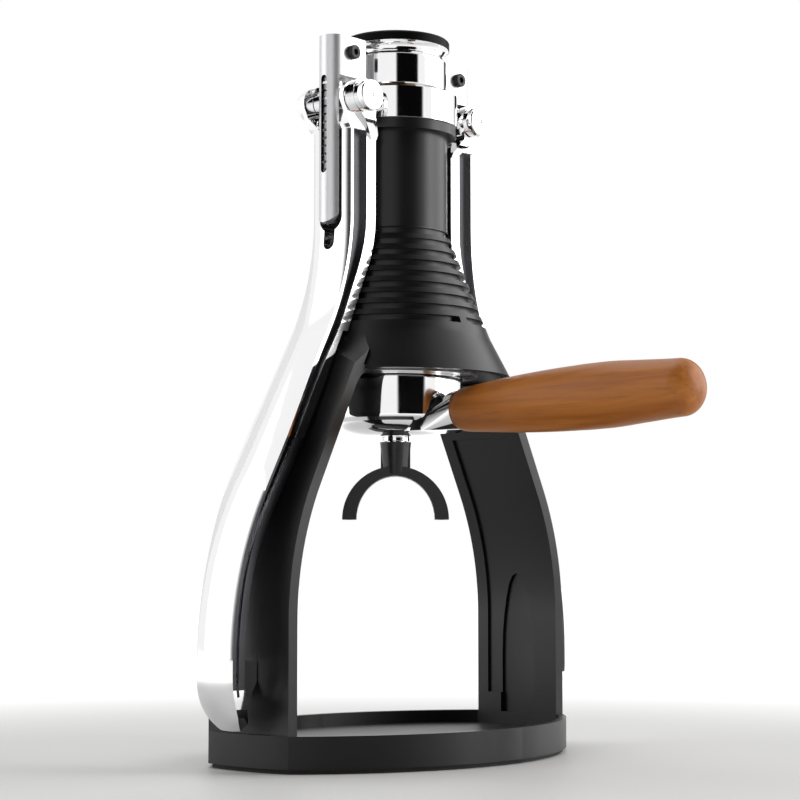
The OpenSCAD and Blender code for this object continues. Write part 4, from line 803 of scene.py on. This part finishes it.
# %% Collar screws: four countersunk sockets on one circle
screws, screws_in, screws_out = start_tree("collar screws", [
    ("Head Radius", "NodeSocketFloat", 0.003), ("Shank Radius", "NodeSocketFloat", 0.0015),
    ("Circle Radius", "NodeSocketFloat", 0.0213), ("Low", "NodeSocketFloat", 0.2476),
    ("Seat", "NodeSocketFloat", 0.2604), ("Top", "NodeSocketFloat", 0.2632),
    ("Material", "NodeSocketMaterial", None)])
head, shank, circle_r, low, seat, top = (screws_in.outputs[n] for n in (
    "Head Radius", "Shank Radius", "Circle Radius", "Low", "Seat", "Top"))
solid_screw = revolve(screws, [
    (0.0, low), (shank, low), (shank, seat), (head, seat), (head, math_node(screws, "SUBTRACT", top, 0.0003)),
    (math_node(screws, "SUBTRACT", head, 0.0003), top), (0.0, top)], sides=40)
finished_screw = hex_socket(screws, solid_screw, shank, top, 0.0028)
spots = add_node(screws, "GeometryNodeMeshCircle", Vertices=4)
screws.links.new(circle_r, spots.inputs["Radius"])
turned_spots = screws.nodes.new("GeometryNodeTransform")
turned_spots.inputs["Rotation"].default_value = (0, 0, math.radians(45))
screws.links.new(spots.outputs["Mesh"], turned_spots.inputs["Geometry"])
four = screws.nodes.new("GeometryNodeInstanceOnPoints")
screws.links.new(turned_spots.outputs["Geometry"], four.inputs["Points"])
screws.links.new(finished_screw, four.inputs["Instance"])
finish_tree(screws, four.outputs["Instances"], screws_in.outputs["Material"], screws_out)
place_grown(grow("collar_screws_turned", screws, head_radius=3.0 * mm, shank_radius=1.5 * mm,
                 circle_radius=21.3 * mm, low=247.6 * mm, seat=260.4 * mm, top=263.2 * mm,
                 material=finishes["screw_black"]), "frame", "collar_screws")

# %% [markdown]
# ## Floor and light
# The photograph was taken against white, on a pale round table. A wide pale floor stands in for the
# table. It fades to plain white further out, so that no horizon shows. The other way would be a curved
# backdrop, but its bend would show in the polished levers.
#
# Four soft panels light the object from the left, the right and above. Between them stand cards of
# dark felt, because polished metal needs something dark to mirror before it looks polished: the black
# bands on the crown and the collar are the card in front. The cards fade out at their edges, so that
# the bands are soft, and they are seen by mirrors only, so that they take no light away.

# %% Floor
floor_mesh = bpy.data.meshes.new("floor")
reach = 6.0
PALE_LOW, PALE_HIGH = (0.70, 0.695, 0.69, 1), (0.75, 0.745, 0.74, 1)
FADE_FROM, FADE_TO = 0.17, 0.55
floor_mesh.from_pydata([(-reach, -reach, 0), (reach, -reach, 0), (reach, reach, 0), (-reach, reach, 0)], [],
                       [(0, 1, 2, 3)])
floor = bpy.data.objects.new("floor", floor_mesh)
bpy.context.scene.collection.objects.link(floor)
floor.location.z = -0.0002
floor_finish, floor_tree, floor_shader, floor_place = start_finish("pale floor")
speckle = add_node(floor_tree, "ShaderNodeTexNoise", Scale=900.0, Detail=2.0)
pale = add_node(floor_tree, "ShaderNodeMix", {"data_type": "RGBA"})
pale.inputs[6].default_value = PALE_LOW
pale.inputs[7].default_value = PALE_HIGH
floor_tree.links.new(floor_place, speckle.inputs["Vector"])
floor_tree.links.new(speckle.outputs["Fac"], pale.inputs["Factor"])
distance = add_node(floor_tree, "ShaderNodeVectorMath", {"operation": "LENGTH"})
fade = add_node(floor_tree, "ShaderNodeMapRange", {"interpolation_type": "SMOOTHSTEP"},
                From_Min=FADE_FROM, From_Max=FADE_TO)
floor_tree.links.new(floor_place, distance.inputs[0])
floor_tree.links.new(distance.outputs["Value"], fade.inputs["Value"])
for socket, near_color, far in (("Base Color", pale.outputs[2], 0.0), ("Emission Color", None, 1.0)):
    fading = add_node(floor_tree, "ShaderNodeMix", {"data_type": "RGBA"})
    fading.inputs[6].default_value = (0, 0, 0, 1)
    fading.inputs[7].default_value = (far, far, far, 1)
    floor_tree.links.new(fade.outputs["Result"], fading.inputs["Factor"])
    if near_color:
        floor_tree.links.new(near_color, fading.inputs[6])
    floor_tree.links.new(fading.outputs[2], floor_shader.inputs[socket])
floor_shader.inputs["Emission Strength"].default_value = 1.0
floor_shader.inputs["Roughness"].default_value = 0.5
floor_shader.inputs["Specular IOR Level"].default_value = 0.2
floor.data.materials.append(floor_finish)
print("floor fades to white between", FADE_FROM, "and", FADE_TO, "m from the middle")

# %% World
world = bpy.data.worlds.new("studio")
bpy.context.scene.world = world
world.use_nodes = True
sky = world.node_tree
for old in list(sky.nodes):
    sky.nodes.remove(old)
paths = sky.nodes.new("ShaderNodeLightPath")
seen = add_node(sky, "ShaderNodeMath", {"operation": "MAXIMUM"})
seen_more = add_node(sky, "ShaderNodeMath", {"operation": "MAXIMUM"})
sky.links.new(paths.outputs["Is Camera Ray"], seen.inputs[0])
sky.links.new(paths.outputs["Is Glossy Ray"], seen.inputs[1])
sky.links.new(seen.outputs[0], seen_more.inputs[0])
sky.links.new(paths.outputs["Is Transmission Ray"], seen_more.inputs[1])
ambient = add_node(sky, "ShaderNodeBackground", Color=(1, 1, 1, 1), Strength=0.4)
backdrop = add_node(sky, "ShaderNodeBackground", Color=(1, 1, 1, 1), Strength=1.0)
both = sky.nodes.new("ShaderNodeMixShader")
sky_out = sky.nodes.new("ShaderNodeOutputWorld")
sky.links.new(seen_more.outputs[0], both.inputs["Fac"])
sky.links.new(ambient.outputs[0], both.inputs[1])
sky.links.new(backdrop.outputs[0], both.inputs[2])
sky.links.new(both.outputs[0], sky_out.inputs["Surface"])

# %% Soft panels
MIDDLE = Vector((0, 0, 0.15))


def place_and_aim(thing, place):
    bpy.context.scene.collection.objects.link(thing)
    thing.location = place
    thing.rotation_euler = (MIDDLE - thing.location).to_track_quat("-Z", "Y").to_euler()


def soft_panel(name, place, size, power):
    lamp = bpy.data.lights.new(name, "AREA")
    lamp.shape = "RECTANGLE"
    lamp.size, lamp.size_y = size
    lamp.energy = power
    place_and_aim(bpy.data.objects.new(name, lamp), place)

# %% Dark cards
def dark_card(name, place, size, tone, soft):
    """A card of felt that fades out at its left and right edges, so that no mirror shows a hard edge."""
    fade_from, w, h = size[0] / 2 * (1 - soft / 2), size[0] / 2 * (1 + soft / 2), size[1] / 2
    card_mesh = bpy.data.meshes.new(name)
    card_mesh.from_pydata([(-w, -h, 0), (w, -h, 0), (w, h, 0), (-w, h, 0)], [], [(0, 1, 2, 3)])
    card = bpy.data.objects.new(name, card_mesh)
    place_and_aim(card, place)
    cloth, tree, felt, place_on_card = start_finish(name)
    across = tree.nodes.new("ShaderNodeSeparateXYZ")
    from_middle = add_node(tree, "ShaderNodeMath", {"operation": "ABSOLUTE"})
    fading = add_node(tree, "ShaderNodeMapRange", {"interpolation_type": "SMOOTHSTEP"}, From_Min=fade_from,
                      From_Max=w, To_Min=1.0, To_Max=0.0)
    tree.links.new(place_on_card, across.inputs["Vector"])
    tree.links.new(across.outputs["X"], from_middle.inputs[0])
    tree.links.new(from_middle.outputs[0], fading.inputs["Value"])
    tree.links.new(fading.outputs["Result"], felt.inputs["Alpha"])
    felt.inputs["Base Color"].default_value = (tone, tone, tone, 1)
    felt.inputs["Roughness"].default_value = 1.0
    felt.inputs["Specular IOR Level"].default_value = 0.0
    card.data.materials.append(cloth)
    card.visible_camera = False
    card.visible_diffuse = False
    card.visible_shadow = False

# %% Place the lights
def around(turn, distance, height):
    """A place at a turn from the front, seen from above: 0 is in front, 90 is at the right."""
    return (distance * math.sin(math.radians(turn)), -distance * math.cos(math.radians(turn)), height)


# name, turn, distance, height, size and power in watts
for name, turn, distance, height, size, power in (
        ("panel_back_left", -125, 1.6, 0.7, (1.5, 1.6), 7),
        ("panel_right", 62, 1.6, 0.65, (1.3, 1.5), 12),
        ("panel_highlight", 33, 1.45, 0.5, (0.5, 1.5), 10)):
    soft_panel(name, around(turn, distance, height), size, power)
soft_panel("panel_top", (0.1, 0.4, 1.8), (1.2, 1.2), 8)

# name, turn, distance, height, size, tone of the felt and softness of the edges
for name, turn, distance, height, size, tone, soft in (
        ("card_front", -21.5, 1.3, 0.55, (1.19, 1.9), 0.002, 0.25),
        ("card_above", -48, 0.95, 1.65, (1.6, 1.3), 0.002, 0.25),
        ("card_left", -100, 1.4, 0.45, (0.34, 1.6), 0.05, 1.6),
        ("card_far_left", -173, 1.4, 0.4, (0.4, 1.5), 0.80, 0.25),
        ("card_low_right", 50, 1.2, 0.02, (0.7, 0.20), 0.002, 0.25),
        ("card_back", 103, 1.5, 0.35, (0.4, 1.4), 0.02, 0.25)):
    dark_card(name, around(turn, distance, height), size, tone, soft)
print("lights:", len(bpy.data.lights))

# %% Colour handling
bpy.context.scene.view_settings.view_transform = "Standard"
